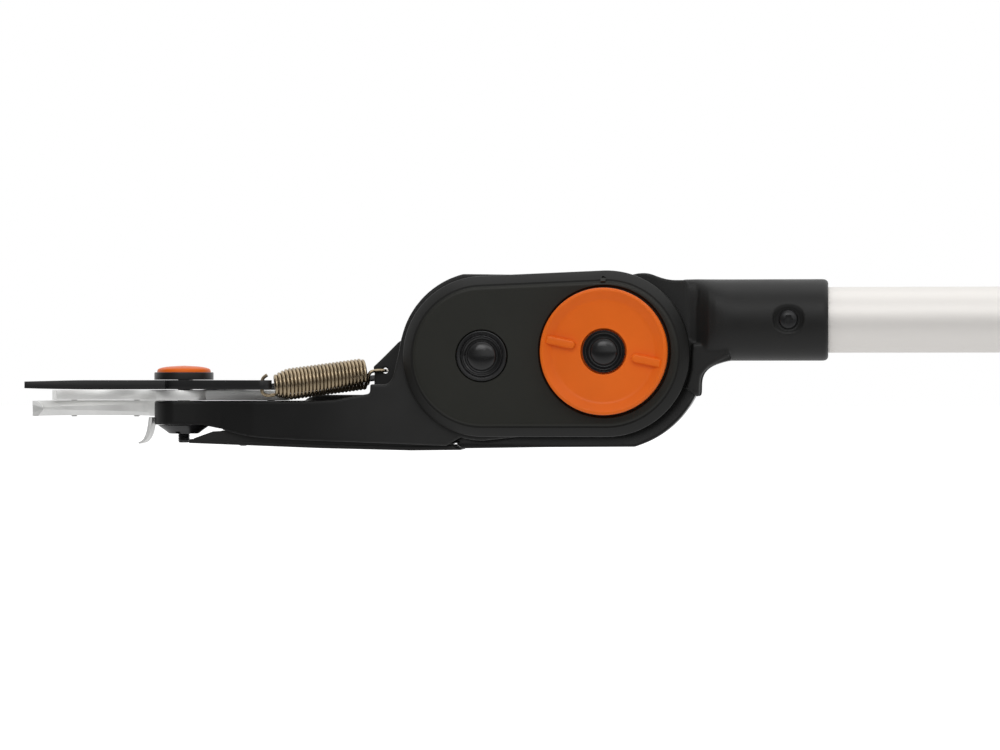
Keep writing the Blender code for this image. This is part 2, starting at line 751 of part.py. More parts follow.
def cover(name, side, turn):
    """A dished oval shell with bosses for both axles; side is -1 near and +1 far."""
    bm = bmesh.new()
    face = bm.faces.new([bm.verts.new((x, y, 0)) for x, y in cover_outline()])
    grown = bmesh.ops.extrude_face_region(bm, geom=[face])
    top = [item for item in grown["geom"] if isinstance(item, bmesh.types.BMFace)]
    verts = [item for item in grown["geom"] if isinstance(item, bmesh.types.BMVert)]
    edge = COVER_DEPTH - 0.0040
    bmesh.ops.translate(bm, verts=verts, vec=(0, 0, edge))
    for thickness, depth in ((0.0016, 0.0018), (COVER_RIM - 0.0016, 0.0022)):
        bmesh.ops.inset_region(bm, faces=top, thickness=thickness, depth=depth, use_even_offset=True)
    mesh = mesh_of(bm, name)
    if side > 0:
        mesh.transform(Matrix.Scale(-1, 4, (0, 1, 0)))
        mesh.flip_normals()
    made = piece(name, mesh, KNUCKLE, COVER_NYLON, (0, side * COVER_IN, 0), turn)
    boss = 0.0100
    hollow = plate(
        f"{name}_hollow",
        cover_outline(COVER_WALL + 0.0028),
        2 * (COVER_DEPTH - COVER_WALL),
        KNUCKLE,
        NYLON,
        (0, side * COVER_IN, 0),
        NEAR,
        holes=(circle((0, 0), boss, 16), circle((REEL_X, REEL_Z), boss, 16)),
    )
    cut(made, hollow)
    cut(
        made,
        through(f"{name}_axle_bore", KNUCKLE_AXLE_R + FIT, 0.04, KNUCKLE, (0, 0)),
        through(f"{name}_reel_bore", REEL_AXLE_R + FIT, 0.04, REEL, (0, 0)),
    )
    cap_room = REEL_CAP_R + SEAT
    cut(
        made,
        rod(f"{name}_cap_room", cap_room, 0.01, REEL, NYLON, (0, side * (COVER_OUT - CAP_SINK), 0), turn),
    )
    return made


def covers():
    near = cover("near_cover", -1, NEAR)
    floor = COVER_OUT - DIAL_SINK
    cut(near, rod("dial_room", DIAL_R + 0.0007, 0.01, KNUCKLE, NYLON, (0, -floor, 0), NEAR, 40))
    far = cover("far_cover", 1, FAR)
    nut_room = rod("nut_room", 0.0096, 0.01, KNUCKLE, NYLON, (0, COVER_OUT - 0.0040, 0), FAR)
    cut(far, nut_room)
    head = 0.0028
    bore = COVER_SCREW_R + FIT
    floor = COVER_OUT - 0.0034
    post = COVER_DEPTH - COVER_WALL + 0.0006
    for i, (x, z) in enumerate(COVER_SCREWS):
        foot = (x, COVER_IN, z)
        below = (x, COVER_IN - 0.002, z)
        join(far, rod(f"screw_post_{i}", head + 0.0022, post, KNUCKLE, NYLON, foot, FAR, 12))
        cut(
            far,
            rod(f"screw_room_{i}", head + 0.0004, 0.01, KNUCKLE, NYLON, (x, floor, z), FAR, 12),
            rod(f"screw_bore_{i}", bore, 0.02, KNUCKLE, NYLON, below, FAR, 10),
        )
        screw = turned(
            f"cover_screw_{i + 1}",
            [
                (0, 0.0020),
                (0.0018, 0.0020),
                (head, 0.0010),
                (head, 0),
                (COVER_SCREW_R, 0),
                (COVER_SCREW_R, ARM_IN + 0.0006 - floor),
                (0, ARM_IN + 0.0006 - floor),
            ],
            KNUCKLE,
            BLACK_STEEL,
            (x, floor + SEAT, z),
            FAR,
            12,
        )
        cut(screw, rod(f"screw_drive_{i}", 0.0010, 0.004, screw, NYLON, (0, 0, 0.0010), sides=6))


def cap_profile(radius, dome):
    """A ringed cap with a low dome inside its rim, over a flat back."""
    rim = radius - 0.0014
    return [
        (0, 0.0034),
        (dome * 0.64, 0.0027),
        (dome, 0.0006),
        (rim, 0.0008),
        (rim + 0.0004, 0.0018),
        (radius, 0.0014),
        (radius, 0),
        (0, 0),
    ]


def axles():
    """Both axles with their near caps, and the nuts on their far ends."""
    cap_floor = COVER_OUT - CAP_SINK
    near_end = COVER_OUT + DIAL_DEPTH - 0.0068
    nut_floor = COVER_OUT - 0.0040
    length = near_end + nut_floor + 0.0034
    rod("knuckle_axle", KNUCKLE_AXLE_R, length, KNUCKLE, STEEL, (0, nut_floor + 0.0034, 0), NEAR)
    turned(
        "knuckle_cap",
        cap_profile(KNUCKLE_CAP_R, 0.0068),
        KNUCKLE,
        BLACK_STEEL,
        (0, -near_end - SEAT, 0),
        NEAR,
        24,
    )
    rod("reel_axle", REEL_AXLE_R, 2 * cap_floor - 0.0006, REEL, STEEL, (0, cap_floor - SEAT, 0), NEAR)
    for side, turn, name in ((-1, NEAR, "reel_cap_near"), (1, FAR, "reel_cap_far")):
        turned(
            name,
            cap_profile(REEL_CAP_R, 0.0072),
            REEL,
            BLACK_STEEL,
            (0, side * (cap_floor + SEAT), 0),
            turn,
            24,
        )
    nut = rod("knuckle_nut", 0.0088, 0.0050, KNUCKLE, STEEL, (0, nut_floor + SEAT, 0), FAR, 6)
    cut(nut, through("nut_bore", KNUCKLE_AXLE_R + FIT, 0.05, KNUCKLE, (0, 0)))


def lock_dial():
    """The dished dial with two finger ridges, turning on the knuckle axle."""
    back = COVER_OUT - DIAL_SINK + SEAT
    top = DIAL_DEPTH
    face = top - 0.0030
    axle = KNUCKLE_AXLE_R + FIT
    floor = COVER_OUT + DIAL_DEPTH - 0.0068 - back - RUN
    profile = [
        (DIAL_R - 0.0012, top),
        (DIAL_R, top - 0.0012),
        (DIAL_R, 0),
        (axle, 0),
        (axle, floor),
        (DIAL_HOLE_R, floor),
        (DIAL_HOLE_R, face),
        (DIAL_R - 0.0060, face),
    ]
    dial = turned("lock_dial", profile, KNUCKLE, ORANGE, (0, -back, 0), NEAR, 40)
    ridge_in = DIAL_HOLE_R + 0.0028
    ridge_out = DIAL_R - 0.0018
    half = 0.0021
    for name, flip in (("right", 0), ("left", pi)):
        outline = arc((ridge_in + half, 0), half, 270, 90, 45) + [(ridge_out, half), (ridge_out, -half)]
        ridge = plate(
            f"ridge_{name}", outline, 0.0058, dial, ORANGE, (0, 0, top - 0.0029), (0, 0, RIDGE_ANGLE + flip)
        )
        bevel(ridge, 0.0010, 1)
        join(dial, ridge)


def three_point_arc(first, middle, last, count):
    """Points from first to last on the circle through all three."""
    ax, ay = first
    bx, by = middle
    cx, cy = last
    d = 2 * (ax * (by - cy) + bx * (cy - ay) + cx * (ay - by))
    a2, b2, c2 = ax * ax + ay * ay, bx * bx + by * by, cx * cx + cy * cy
    centre = (
        (a2 * (by - cy) + b2 * (cy - ay) + c2 * (ay - by)) / d,
        (a2 * (cx - bx) + b2 * (ax - cx) + c2 * (bx - ax)) / d,
    )
    radius = hypot(ax - centre[0], ay - centre[1])
    start = degrees(atan2(ay - centre[1], ax - centre[0]))
    end = degrees(atan2(cy - centre[1], cx - centre[0]))
    middle_angle = degrees(atan2(by - centre[1], bx - centre[0]))
    if (middle_angle - start) % 360 < (end - start) % 360:
        end = start + (end - start) % 360
    else:
        end = start - (start - end) % 360
    return arc(centre, radius, start, end, abs(end - start) / count)


def loft_plate(name, lower, upper, low, high, parent, colour):
    """A plate whose sides slope from a lower outline to an upper one, point for point."""
    bm = bmesh.new()
    rings = [[bm.verts.new((x, y, z)) for x, y in loop] for loop, z in ((lower, low), (upper, high))]
    for i in range(len(lower)):
        bm.faces.new((rings[0][i - 1], rings[0][i], rings[1][i], rings[1][i - 1]))
    bm.faces.new(rings[0])
    bm.faces.new(rings[1])
    return piece(name, mesh_of(bm, name), parent, colour)


def moving_blade():
    """The coated blade with its ground edge and two ears, drawn shut and turned open."""
    tip = (-BLADE_LENGTH, 0.0015)
    heel = (-0.0112, 0.0100)
    belly = (MOUTH[0], MOUTH[1] + MOUTH_R + 0.0015)
    shut = Matrix.Rotation(-BLADE_OPEN, 2)
    lever = shut @ LEVER_HOLE
    ear = shut @ DRIVE_PIN
    ear_turn = degrees(atan2(ear.y, ear.x))
    lever_turn = degrees(atan2(lever.y, lever.x))
    edge = three_point_arc(tip, belly, heel, 12)
    body = arc((0, 0), BOSS_R, 132, ear_turn + 66, 4)
    body += arc(ear, 0.0050, ear_turn + 72, ear_turn - 82, 22)
    body += [(BOSS_R * cos(radians(8)), BOSS_R * sin(radians(8)))]
    body += arc(lever, 0.0048, lever_turn + 80, lever_turn - 80, 22)
    body += arc((0, 0), BOSS_R, lever_turn - 74, -146, 10)
    body += three_point_arc((-0.0150, -0.0128), (-0.0460, -0.0115), tip, 6)[:-1]
    middle = (belly[0], tip[1] - 0.012)
    grind = []
    for i, (x, y) in enumerate(edge):
        width = 0.0100 * sin(pi * i / (len(edge) - 1)) ** 0.6
        inward = Vector((middle[0] - x, middle[1] - y)).normalized() * width
        grind.append((x + inward.x, y + inward.y))
    low = BLADE_TOP - BLADE_THICK
    blade = loft_plate("moving_blade", edge + body, grind + body, low, BLADE_TOP, BLADE, COATED)
    cut(
        blade,
        rod("blade_bore", PIVOT_BOLT_R + FIT, 0.02, BLADE, COATED, (0, 0, low - 0.005), UP, 14),
        rod("lever_bore", WIRE / 2 + 0.0008, 0.02, BLADE, COATED, (*lever, low - 0.005), UP, 14),
        rod("ear_bore", DRIVE_PIN_R + FIT, 0.02, BLADE, COATED, (*ear, low - 0.005), UP, 16),
    )


def blade_hardware():
    """What turns with the blade: the ring, the pivot's cap and the strap's drive pin."""
    shut = Matrix.Rotation(-BLADE_OPEN, 2)
    ear = shut @ DRIVE_PIN
    ring_foot = BLADE_TOP + SEAT
    ring_top = 0.0037
    cap_r = BOSS_R - 0.0013
    turned(
        "pivot_ring",
        [
            (BOSS_R - 0.0004, ring_top),
            (BOSS_R, ring_top - 0.0004),
            (BOSS_R, 0),
            (PIVOT_HEAD_R + RUN, 0),
            (PIVOT_HEAD_R + RUN, ring_top - 0.0018),
            (cap_r + SEAT, ring_top - 0.0018),
            (cap_r + SEAT, ring_top),
        ],
        BLADE,
        COATED,
        (0, 0, ring_foot),
        UP,
        26,
    )
    turned(
        "pivot_cap",
        [
            (0, 0.0047),
            (cap_r * 0.7, 0.0041),
            (cap_r - 0.0005, 0.0029),
            (cap_r, 0.0018),
            (cap_r, 0),
            (0, 0),
        ],
        BLADE,
        ORANGE,
        (0, 0, ring_foot + ring_top - 0.0018 + SEAT),
        UP,
        26,
    )
    length = BLADE_THICK + BLADE_STRAP_WIDTH + 0.0018
    turned(
        "drive_pin",
        [
            (0, 0.0012),
            (0.0034, 0.0012),
            (0.0034, 0),
            (DRIVE_PIN_R, 0),
            (DRIVE_PIN_R, -length),
            (0, -length),
        ],
        BLADE,
        STEEL,
        (*ear, BLADE_TOP + SEAT),
        UP,
        12,
    )


def pivot_bolt():
    """The bolt through blade, counter blade, hook and arm, with a conical nut below."""
    head = BLADE_TOP + SEAT
    end = ARM_FLOOR - 0.0090
    turned(
        "pivot_bolt",
        [
            (0, 0.0018),
            (PIVOT_HEAD_R, 0.0018),
            (PIVOT_HEAD_R, 0),
            (PIVOT_BOLT_R, 0),
            (PIVOT_BOLT_R, end - head),
            (0, end - head),
        ],
        PIVOT,
        STEEL,
        (0, 0, head),
        UP,
        20,
    )
    foot = (0, 0, ARM_FLOOR - SEAT - 0.0042)
    nut = rod("pivot_nut", 0.0072, 0.0042, PIVOT, BLACK_STEEL, foot, UP, 24, BOSS_R - 0.0017)
    cut(nut, rod("nut_thread", PIVOT_BOLT_R + FIT, 0.03, PIVOT, STEEL, (0, 0, -0.06), UP))


def jaw_outline(tip_angle, inner_r, outer_r, outer_centre, boss, tail=()):
    """A hooked plate round the mouth: inner edge, tip, back, pivot boss and its tail."""
    inner = arc(MOUTH, inner_r, 22, tip_angle, 12)
    outer = arc(outer_centre, outer_r, tip_angle - 3, 40, 13)
    if not tail:
        return inner + outer + arc((0, 0), boss, 110, -165, 15)
    lean = degrees(atan2(tail[0][1], sqrt(boss**2 - tail[0][1] ** 2)))
    upper_boss = arc((0, 0), boss, 110, lean, 12)
    lower_boss = arc((0, 0), boss, -lean, -165, 12)
    return inner + outer + upper_boss + tail + lower_boss


def jaws():
    """The steel counter blade, the branch hook under it, and what holds them."""
    thick = COUNTER_THICK
    middle = COUNTER_TOP - thick / 2
    tail = [(0.0490, 0.0075), (0.0530, 0.0045), (0.0530, -0.0045), (0.0470, -0.0062)]
    counter_outline = jaw_outline(156, MOUTH_R, 0.0310, (-0.0425, -0.0020), BOSS_R, tail)
    counter = plate("counter_blade", counter_outline, thick, PIVOT, STEEL, (0, 0, middle))
    foot = (TAIL_SCREW_X, 0, COUNTER_TOP - 0.0020)
    seat = rod("tail_seat", TAIL_SCREW_R, 0.0024, PIVOT, STEEL, foot, UP, 14, 0.0042)
    bore = rod("tail_bore", TAIL_SCREW_R + FIT, 0.03, PIVOT, STEEL, (TAIL_SCREW_X, 0, -0.045), UP, 14)
    bolt = rod("counter_bore", PIVOT_BOLT_R + FIT, 0.03, PIVOT, STEEL, (0, 0, -0.04), UP)
    cut(counter, seat, bore, bolt)
    turned(
        "tail_screw",
        [
            (0, 0),
            (0.0032, 0),
            (TAIL_SCREW_R, -0.0016),
            (TAIL_SCREW_R, -0.0105),
            (0, -0.0105),
        ],
        PIVOT,
        BLACK_STEEL,
        (TAIL_SCREW_X, 0, COUNTER_TOP - 0.0003),
        UP,
        12,
    )
    middle = HOOK_TOP - HOOK_THICK / 2
    hook_outline = jaw_outline(202, MOUTH_R + 0.0012, 0.0345, (-0.0415, 0.0), BOSS_R - 0.0034)
    hook = plate("branch_hook", hook_outline, HOOK_THICK, PIVOT, STEEL, (0, 0, middle))
    cut(hook, rod("hook_bore", PIVOT_BOLT_R + FIT, 0.03, PIVOT, STEEL, (0, 0, -0.045), UP))
    rivet = 0.0015
    ring = MOUTH_R + 0.0048
    top = COUNTER_TOP - 0.0004
    low = HOOK_BOTTOM - 0.0006
    for i, angle in enumerate((60, 125)):
        x = MOUTH[0] + ring * cos(radians(angle))
        y = MOUTH[1] + ring * sin(radians(angle))
        above = (x, y, COUNTER_TOP - 0.015)
        below = (x, y, HOOK_BOTTOM - 0.005)
        cut(counter, rod(f"rivet_bore_{i}", rivet + FIT, 0.02, PIVOT, STEEL, above, UP, 12))
        cut(hook, rod(f"rivet_hole_{i}", rivet + FIT, 0.02, PIVOT, STEEL, below, UP, 12))
        rod(f"jaw_rivet_{i + 1}", rivet, top - low, PIVOT, STEEL, (x, y, low), UP, 12)


def claw():
    """A small hooked strip under the arm's nose, to drag cut branches free."""
    nose = ARM_FRONT - SEAT
    top = HOOK_BOTTOM - 0.0006
    outer = [
        (nose, top),
        (nose - 0.0003, top - 0.0038),
        (nose - 0.0014, top - 0.0075),
        (nose - 0.0031, top - 0.0107),
        (nose - 0.0050, top - 0.0124),
        (nose - 0.0068, top - 0.0132),
    ]
    inner = [
        (nose - 0.0070, top - 0.0124),
        (nose - 0.0054, top - 0.0114),
        (nose - 0.0041, top - 0.0097),
        (nose - 0.0030, top - 0.0071),
        (nose - 0.0022, top - 0.0036),
        (nose - 0.0018, top),
    ]
    plate("claw", outer + inner, 0.0100, KNUCKLE, STEEL, rotation=NEAR)


def height_at(x, line):
    """The height of a line of (x, z) points, given from rear to front, at x."""
    for (x1, z1), (x0, z0) in zip(line, line[1:]):
        if x0 <= x <= x1:
            return z0 + (z1 - z0) * (x - x0) / (x1 - x0)
    return line[-1][1]


def bottom_cover():
    """The strip that closes the arm's underside: a channel inside its walls, on two posts."""
    front = PIVOT_X + 0.0050
    rear = REEL_X - 0.0155
    mid = (front + rear) / 2
    lower = [(front, -0.0450), (mid, -0.0474), (REEL_X - 0.036, -0.0484), (rear + 0.0036, -0.0481)]
    upper = [(rear, -0.0457), (REEL_X - 0.036, -0.0464), (mid, -0.0454), (front, -0.0431)]
    strip = plate("bottom_cover", lower + upper, 2 * 0.0120, KNUCKLE, NYLON, rotation=NEAR)
    flange = [
        (front + 0.0025, -0.0443),
        (mid, -0.0464),
        (REEL_X - 0.036, -0.0474),
        (REEL_X - 0.020, -0.0472),
        (REEL_X - 0.020, -0.0440),
        (PIVOT_X + 0.0340, -0.0400),
        (PIVOT_X + 0.0240, -0.0388),
        (PIVOT_X + 0.0170, -0.0392),
        (front + 0.0025, -0.0426),
    ]
    for side in (-1, 1):
        place = (0, side * 0.0110, 0)
        join(strip, plate(f"flange_{side}", flange, 0.0016, KNUCKLE, NYLON, place, NEAR))
    post_top = ARM_TOP - 0.0058 - SEAT
    for i, x in enumerate(STRIP_SCREWS):
        foot = height_at(x, upper) - 0.0008
        join(strip, rod(f"post_{i}", 0.0042, post_top - foot, KNUCKLE, NYLON, (x, 0, foot), UP, 14))
        cut(
            strip,
            rod(f"post_bore_{i}", STRIP_SCREW_R + FIT, 0.04, KNUCKLE, NYLON, (x, 0, -0.06), UP, 10),
            rod(f"post_sink_{i}", 0.0030, 0.0055, KNUCKLE, NYLON, (x, 0, -0.0505), UP, 12),
        )
        turned(
            f"bottom_screw_{i + 1}",
            [
                (0, 0),
                (STRIP_SCREW_R, 0),
                (STRIP_SCREW_R, -0.0165),
                (0.0026, -0.0165),
                (0.0026, -0.0178),
                (0, -0.0178),
            ],
            KNUCKLE,
            BLACK_STEEL,
            (x, 0, -0.0288),
            UP,
            20,
        )


def return_spring():
    """One wire: the lever's hook, a close coil that lies askew, and the hook in the arm's rib."""
    hole = Vector((PIVOT_X + LEVER_HOLE.x, LEVER_HOLE.y, BLADE_TOP))
    eye = Vector((SPRING_HOLE[0], 0, SPRING_HOLE[1]))
    start = hole + Vector((0.0059, 0.0027, -0.0029))
    end = eye + Vector((-0.0090, -0.0023, -0.0014))
    axis = (end - start).normalized()
    up = Vector((0, 0, 1))
    up = (up - axis * up.dot(axis)).normalized()
    side = axis.cross(up)
    turns = int((end - start).length / SPRING_PITCH) + 0.2
    count = round(turns * CURL_POINTS)
    coil = []
    for i in range(count + 1):
        turn = i / CURL_POINTS
        swell = min(1, turn / 4, turns - turn)
        radius = SPRING_END_R + (SPRING_R - SPRING_END_R) * swell
        centre = start.lerp(end, i / count)
        spin = 2 * pi * turn
        coil.append(centre + up * (-radius * cos(spin)) + side * (radius * sin(spin)))
    front = [
        hole + Vector((0.0023, 0, 0.0022)),
        hole + Vector((0.0003, 0, 0.0004)),
        hole + Vector((0, 0, -BLADE_THICK - 0.0002)),
        hole + Vector((0.0006, 0.0002, -BLADE_THICK - 0.0020)),
        hole + Vector((0.0026, 0.0012, -BLADE_THICK - 0.0030)),
    ]
    last = coil[-1]
    back = [
        last + Vector((0.0012, 0, 0.0016)),
        eye + Vector((-0.0045, -0.0050, -0.0001)),
        eye + Vector((-0.0021, -0.0042, 0.0001)),
        eye + Vector((-0.0005, -0.0037, 0)),
        eye + Vector((0, -0.0029, 0)),
        eye + Vector((0, 0.0035, 0)),
    ]
    wire = front + coil + back
    wire_tube("return_spring", wire, WIRE, KNUCKLE, SPRING_STEEL)
    gap = min(
        (coil[i] - coil[j]).length
        for i in range(len(coil))
        for j in range(i + CURL_POINTS - 2, min(i + CURL_POINTS + 3, len(coil)))
    )
    print(f"return_spring: least gap between turns {1000 * (gap - WIRE):.2f} mm")


def pull_grip():
    """The sliding grip: a bush on the pole, two half shells, and the strap's anchor."""
    bush_r = POLE_R + RUN
    half = GRIP_LENGTH / 2
    shell_in = bush_r + 0.0022
    bush_half = half - 0.004
    bush = turned(
        "grip_bush",
        [(shell_in, bush_half), (shell_in, -bush_half), (bush_r, -bush_half), (bush_r, bush_half)],
        SLIDE,
        NYLON,
        (0, 0, 0),
        ALONG,
        24,
    )
    stem = ANCHOR_STEM / 2 + SEAT
    cut(bush, box("stem_way", (-0.0045, -stem, -POLE_R - 0.014), (0.0045, stem, 0.006 - POLE_R), SLIDE))
    rim = GRIP_R + 0.0045
    profile = [
        (GRIP_R - 0.001, half),
        (rim, half - 0.004),
        (rim, half - 0.009),
        (GRIP_R, half - 0.020),
        (GRIP_R + 0.0008, 0),
        (GRIP_R, -half + 0.020),
        (rim, -half + 0.009),
        (rim, -half + 0.004),
        (GRIP_R - 0.001, -half),
        (shell_in + SEAT, -half),
        (shell_in + SEAT, half),
    ]
    for name, side in (("grip_upper", 1), ("grip_lower", -1)):
        shell = turned(name, profile, SLIDE, FOAM, (0, 0, 0), ALONG, 24)
        low = SEAT / 2 if side > 0 else -0.05
        high = 0.05 if side > 0 else -SEAT / 2
        keep = box(f"{name}_half", (-0.1, -0.05, low), (0.1, 0.05, high), SLIDE)
        combine(shell, keep, "INTERSECT")
        if side < 0:
            low = (-0.0048, -stem, -POLE_R - 0.0052)
            cut(shell, box("stem_pocket", low, (0.0048, stem, 0.001 - POLE_R), SLIDE))
        for i, x in enumerate((-GRIP_SCREW_X, GRIP_SCREW_X)):
            bore = (x, GRIP_SCREW_Y, -0.03)
            sink = (x, GRIP_SCREW_Y, -0.026)
            cut(shell, rod(f"{name}_screw_{i}", 0.0017, 0.06, SLIDE, FOAM, bore, UP, 12))
            if side < 0:
                cut(shell, rod(f"{name}_sink_{i}", 0.0030, 0.02, SLIDE, FOAM, sink, UP, 12))
    for i, x in enumerate((-GRIP_SCREW_X, GRIP_SCREW_X)):
        turned(
            f"grip_screw_{i + 1}",
            [(0, 0), (0.0015, 0), (0.0015, -0.0100), (0.0026, -0.0100), (0.0026, -0.0114), (0, -0.0114)],
            SLIDE,
            BLACK_STEEL,
            (x, GRIP_SCREW_Y, 0.0040),
            UP,
            20,
        )
    strap_room = STRAP_WIDTH / 2 + 0.0009
    side = strap_room + 0.0027
    end = side + 0.0004
    foot = -POLE_R - 0.0045
    anchor = rod("strap_anchor", ANCHOR_BAR_R, 2 * end, SLIDE, STEEL, (0, end, 0), NEAR, 24)
    join(
        anchor,
        box("stem", (-0.0017, -ANCHOR_STEM / 2, foot), (0.0017, ANCHOR_STEM / 2, -0.0070), SLIDE),
        box("stirrup", (-0.0016, -side - 0.0001, -0.0092), (0.0016, side + 0.0001, -0.0062), SLIDE),
        box("stirrup_near", (-0.0015, -side, -0.0080), (0.0015, -strap_room, 0.0), SLIDE),
        box("stirrup_far", (-0.0015, strap_room, -0.0080), (0.0015, side, 0.0), SLIDE),
    )


def butt_end():
    """The foam sleeve, the knob with its flat end, its core and its screw."""
    foam_end = -KNOB_LENGTH - 0.004
    inner = POLE_R + SEAT
    outer = inner + FOAM_WALL
    turned(
        "foam_grip",
        [
            (outer - 0.001, FOAM_LENGTH),
            (outer, FOAM_LENGTH - 0.002),
            (outer, 0.002),
            (outer - 0.001, 0),
            (inner, 0),
            (inner, FOAM_LENGTH),
        ],
        None,
        FOAM,
        (foam_end - FOAM_LENGTH, 0, 0),
        ALONG,
        24,
    )
    flat = 0.0120
    ball = KNOB_R
    centre = sqrt(ball**2 - flat**2)
    seat = KNOB_LENGTH / 2
    profile = [(0, 0)]
    start = atan2(flat, centre)
    steps = 5
    end_angle = pi - atan2(POLE_R + 0.0025, ball * 0.55)
    for i in range(steps + 1):
        angle = start + (end_angle - start) * i / steps
        profile.append((ball * sin(angle), -centre + ball * cos(angle)))
    neck = POLE_R + 0.0028
    profile += [(neck, -KNOB_LENGTH + 0.001), (neck - 0.0008, -KNOB_LENGTH)]
    profile += [(POLE_R + SEAT, -KNOB_LENGTH), (POLE_R + SEAT, -seat + SEAT), (0, -seat + SEAT)]
    knob = turned("end_knob", profile, None, ORANGE, (0, 0, 0), ALONG, 24)
    core_end = -seat - SEAT
    core_foot = (core_end - 0.03, 0, 0)
    core = rod("knob_core", POLE_BORE - SEAT, 0.03, None, NYLON, core_foot, ALONG, 32)
    screw_x = -KNOB_LENGTH + 0.009
    foot = (screw_x, 0, -POLE_R - 0.018)
    for target, radius in ((knob, 0.0016), (core, 0.0016), (bpy.data.objects["pole_tube"], 0.0017)):
        cut(target, rod(f"{target.name}_knob_screw", radius, 0.03, None, NYLON, foot, UP, 12))
    cut(knob, rod("knob_sink", 0.0036, 0.02, None, NYLON, (screw_x, 0, -POLE_R - 0.022), UP, 12))
    turned(
        "knob_screw",
        [(0, 0), (0.0015, 0), (0.0015, -0.0102), (0.0030, -0.0102), (0.0030, -0.0114), (0, -0.0114)],
        None,
        BLACK_STEEL,
        (screw_x, 0, 0.008 - POLE_R),
        UP,
        12,
    )


pole_tube()
yoke_collar()
pole_insert()
strap_guard()
knuckle_pulley()
strap_reel()
straps()
arm()
covers()
axles()
lock_dial()
moving_blade()
blade_hardware()
pivot_bolt()
jaws()
claw()
bottom_cover()
return_spring()
pull_grip()
butt_end()
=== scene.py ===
from math import asin, atan2, ceil, cos, degrees, hypot, pi, radians, sin, sqrt

import bmesh
import bpy
from mathutils import Matrix, Vector


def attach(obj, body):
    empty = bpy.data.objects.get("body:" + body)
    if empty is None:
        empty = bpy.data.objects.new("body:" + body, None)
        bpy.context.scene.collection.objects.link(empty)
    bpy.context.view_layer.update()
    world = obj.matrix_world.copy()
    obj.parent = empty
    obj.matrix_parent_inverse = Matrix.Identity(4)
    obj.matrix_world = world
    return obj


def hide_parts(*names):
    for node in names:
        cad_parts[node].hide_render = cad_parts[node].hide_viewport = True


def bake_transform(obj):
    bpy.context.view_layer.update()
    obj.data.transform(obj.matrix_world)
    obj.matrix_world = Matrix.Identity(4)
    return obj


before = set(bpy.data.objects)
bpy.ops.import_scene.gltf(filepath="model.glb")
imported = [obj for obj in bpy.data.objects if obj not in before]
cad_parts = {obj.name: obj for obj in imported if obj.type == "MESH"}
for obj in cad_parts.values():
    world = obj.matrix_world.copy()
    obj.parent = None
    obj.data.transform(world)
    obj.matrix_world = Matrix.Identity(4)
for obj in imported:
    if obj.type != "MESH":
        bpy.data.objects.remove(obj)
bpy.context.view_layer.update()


# The photographer's table: a white floor well below the tool, which floats as in a cut-out picture,
# white for the camera and dimmer in mirrors; two soft boxes stand in front, one hangs overhead.
CAMERA_AT = (-1.19137, -1.49178, -0.02686)
CAMERA_TURN = 6
LENS = 109.56
FLOOR_HEIGHT = -0.36
FLOOR_REACH = 30
ROOM_LIGHT = 0.55
ROOM_DARK = 0.10
ROOM_FRONT = 0.72
PAPER_GLOW = 0.80
CEILING_LIGHT = 0.5
BACKDROP_EDGE = (-0.35, 0.45)
CEILING_EDGE = (0.25, 0.8)
FRONT_EDGE = (-0.75, 0.2)
FLOOR_EDGE = (-1.6, 0.1)
WHITE = (1, 1, 1, 1)

eye = bpy.data.cameras.new("photographer")
eye.lens = LENS
eye.sensor_width = 36
camera = bpy.data.objects.new("photographer", eye)
camera.location = CAMERA_AT
camera.rotation_euler = (radians(90), 0, radians(CAMERA_TURN))
bpy.context.scene.collection.objects.link(camera)
bpy.context.scene.camera = camera
bpy.context.scene.view_settings.view_transform = "Standard"


def add(tree, kind, sockets, **settings):
    """A shader node with its settings, its sockets set to values or joined to other nodes."""
    made = tree.nodes.new("ShaderNode" + kind)
    for name, value in settings.items():
        setattr(made, name, value)
    for name, value in sockets.items():
        if isinstance(value, bpy.types.NodeSocket):
            tree.links.new(value, made.inputs[name])
        else:
            made.inputs[name].default_value = value
    return made


def by_ray(tree, camera_view, mirror_view, other):
    """A shader for camera rays, one for rays that metal and glass send on, and one for the rest."""
    path = add(tree, "LightPath", {})
    bent = add(
        tree,
        "Math",
        {0: path.outputs["Is Glossy Ray"], 1: path.outputs["Is Transmission Ray"]},
        operation="MAXIMUM",
    )
    first = add(tree, "MixShader", {0: bent.outputs[0], 1: other, 2: mirror_view})
    seen = path.outputs["Is Camera Ray"]
    last = add(tree, "MixShader", {0: seen, 1: first.outputs[0], 2: camera_view})
    return last.outputs[0]


def eased(tree, value, low, high, start, end):
    """A value brought smoothly from one range into another."""
    made = add(
        tree,
        "MapRange",
        {"Value": value, "From Min": start, "From Max": end, "To Min": low, "To Max": high},
        interpolation_type="SMOOTHSTEP",
    )
    return made.outputs[0]


def solid(name, bm):
    """A drawn shape as an object in the scene."""
    mesh = bpy.data.meshes.new(name)
    bm.to_mesh(mesh)
    bm.free()
    made = bpy.data.objects.new(name, mesh)
    bpy.context.scene.collection.objects.link(made)
    return made


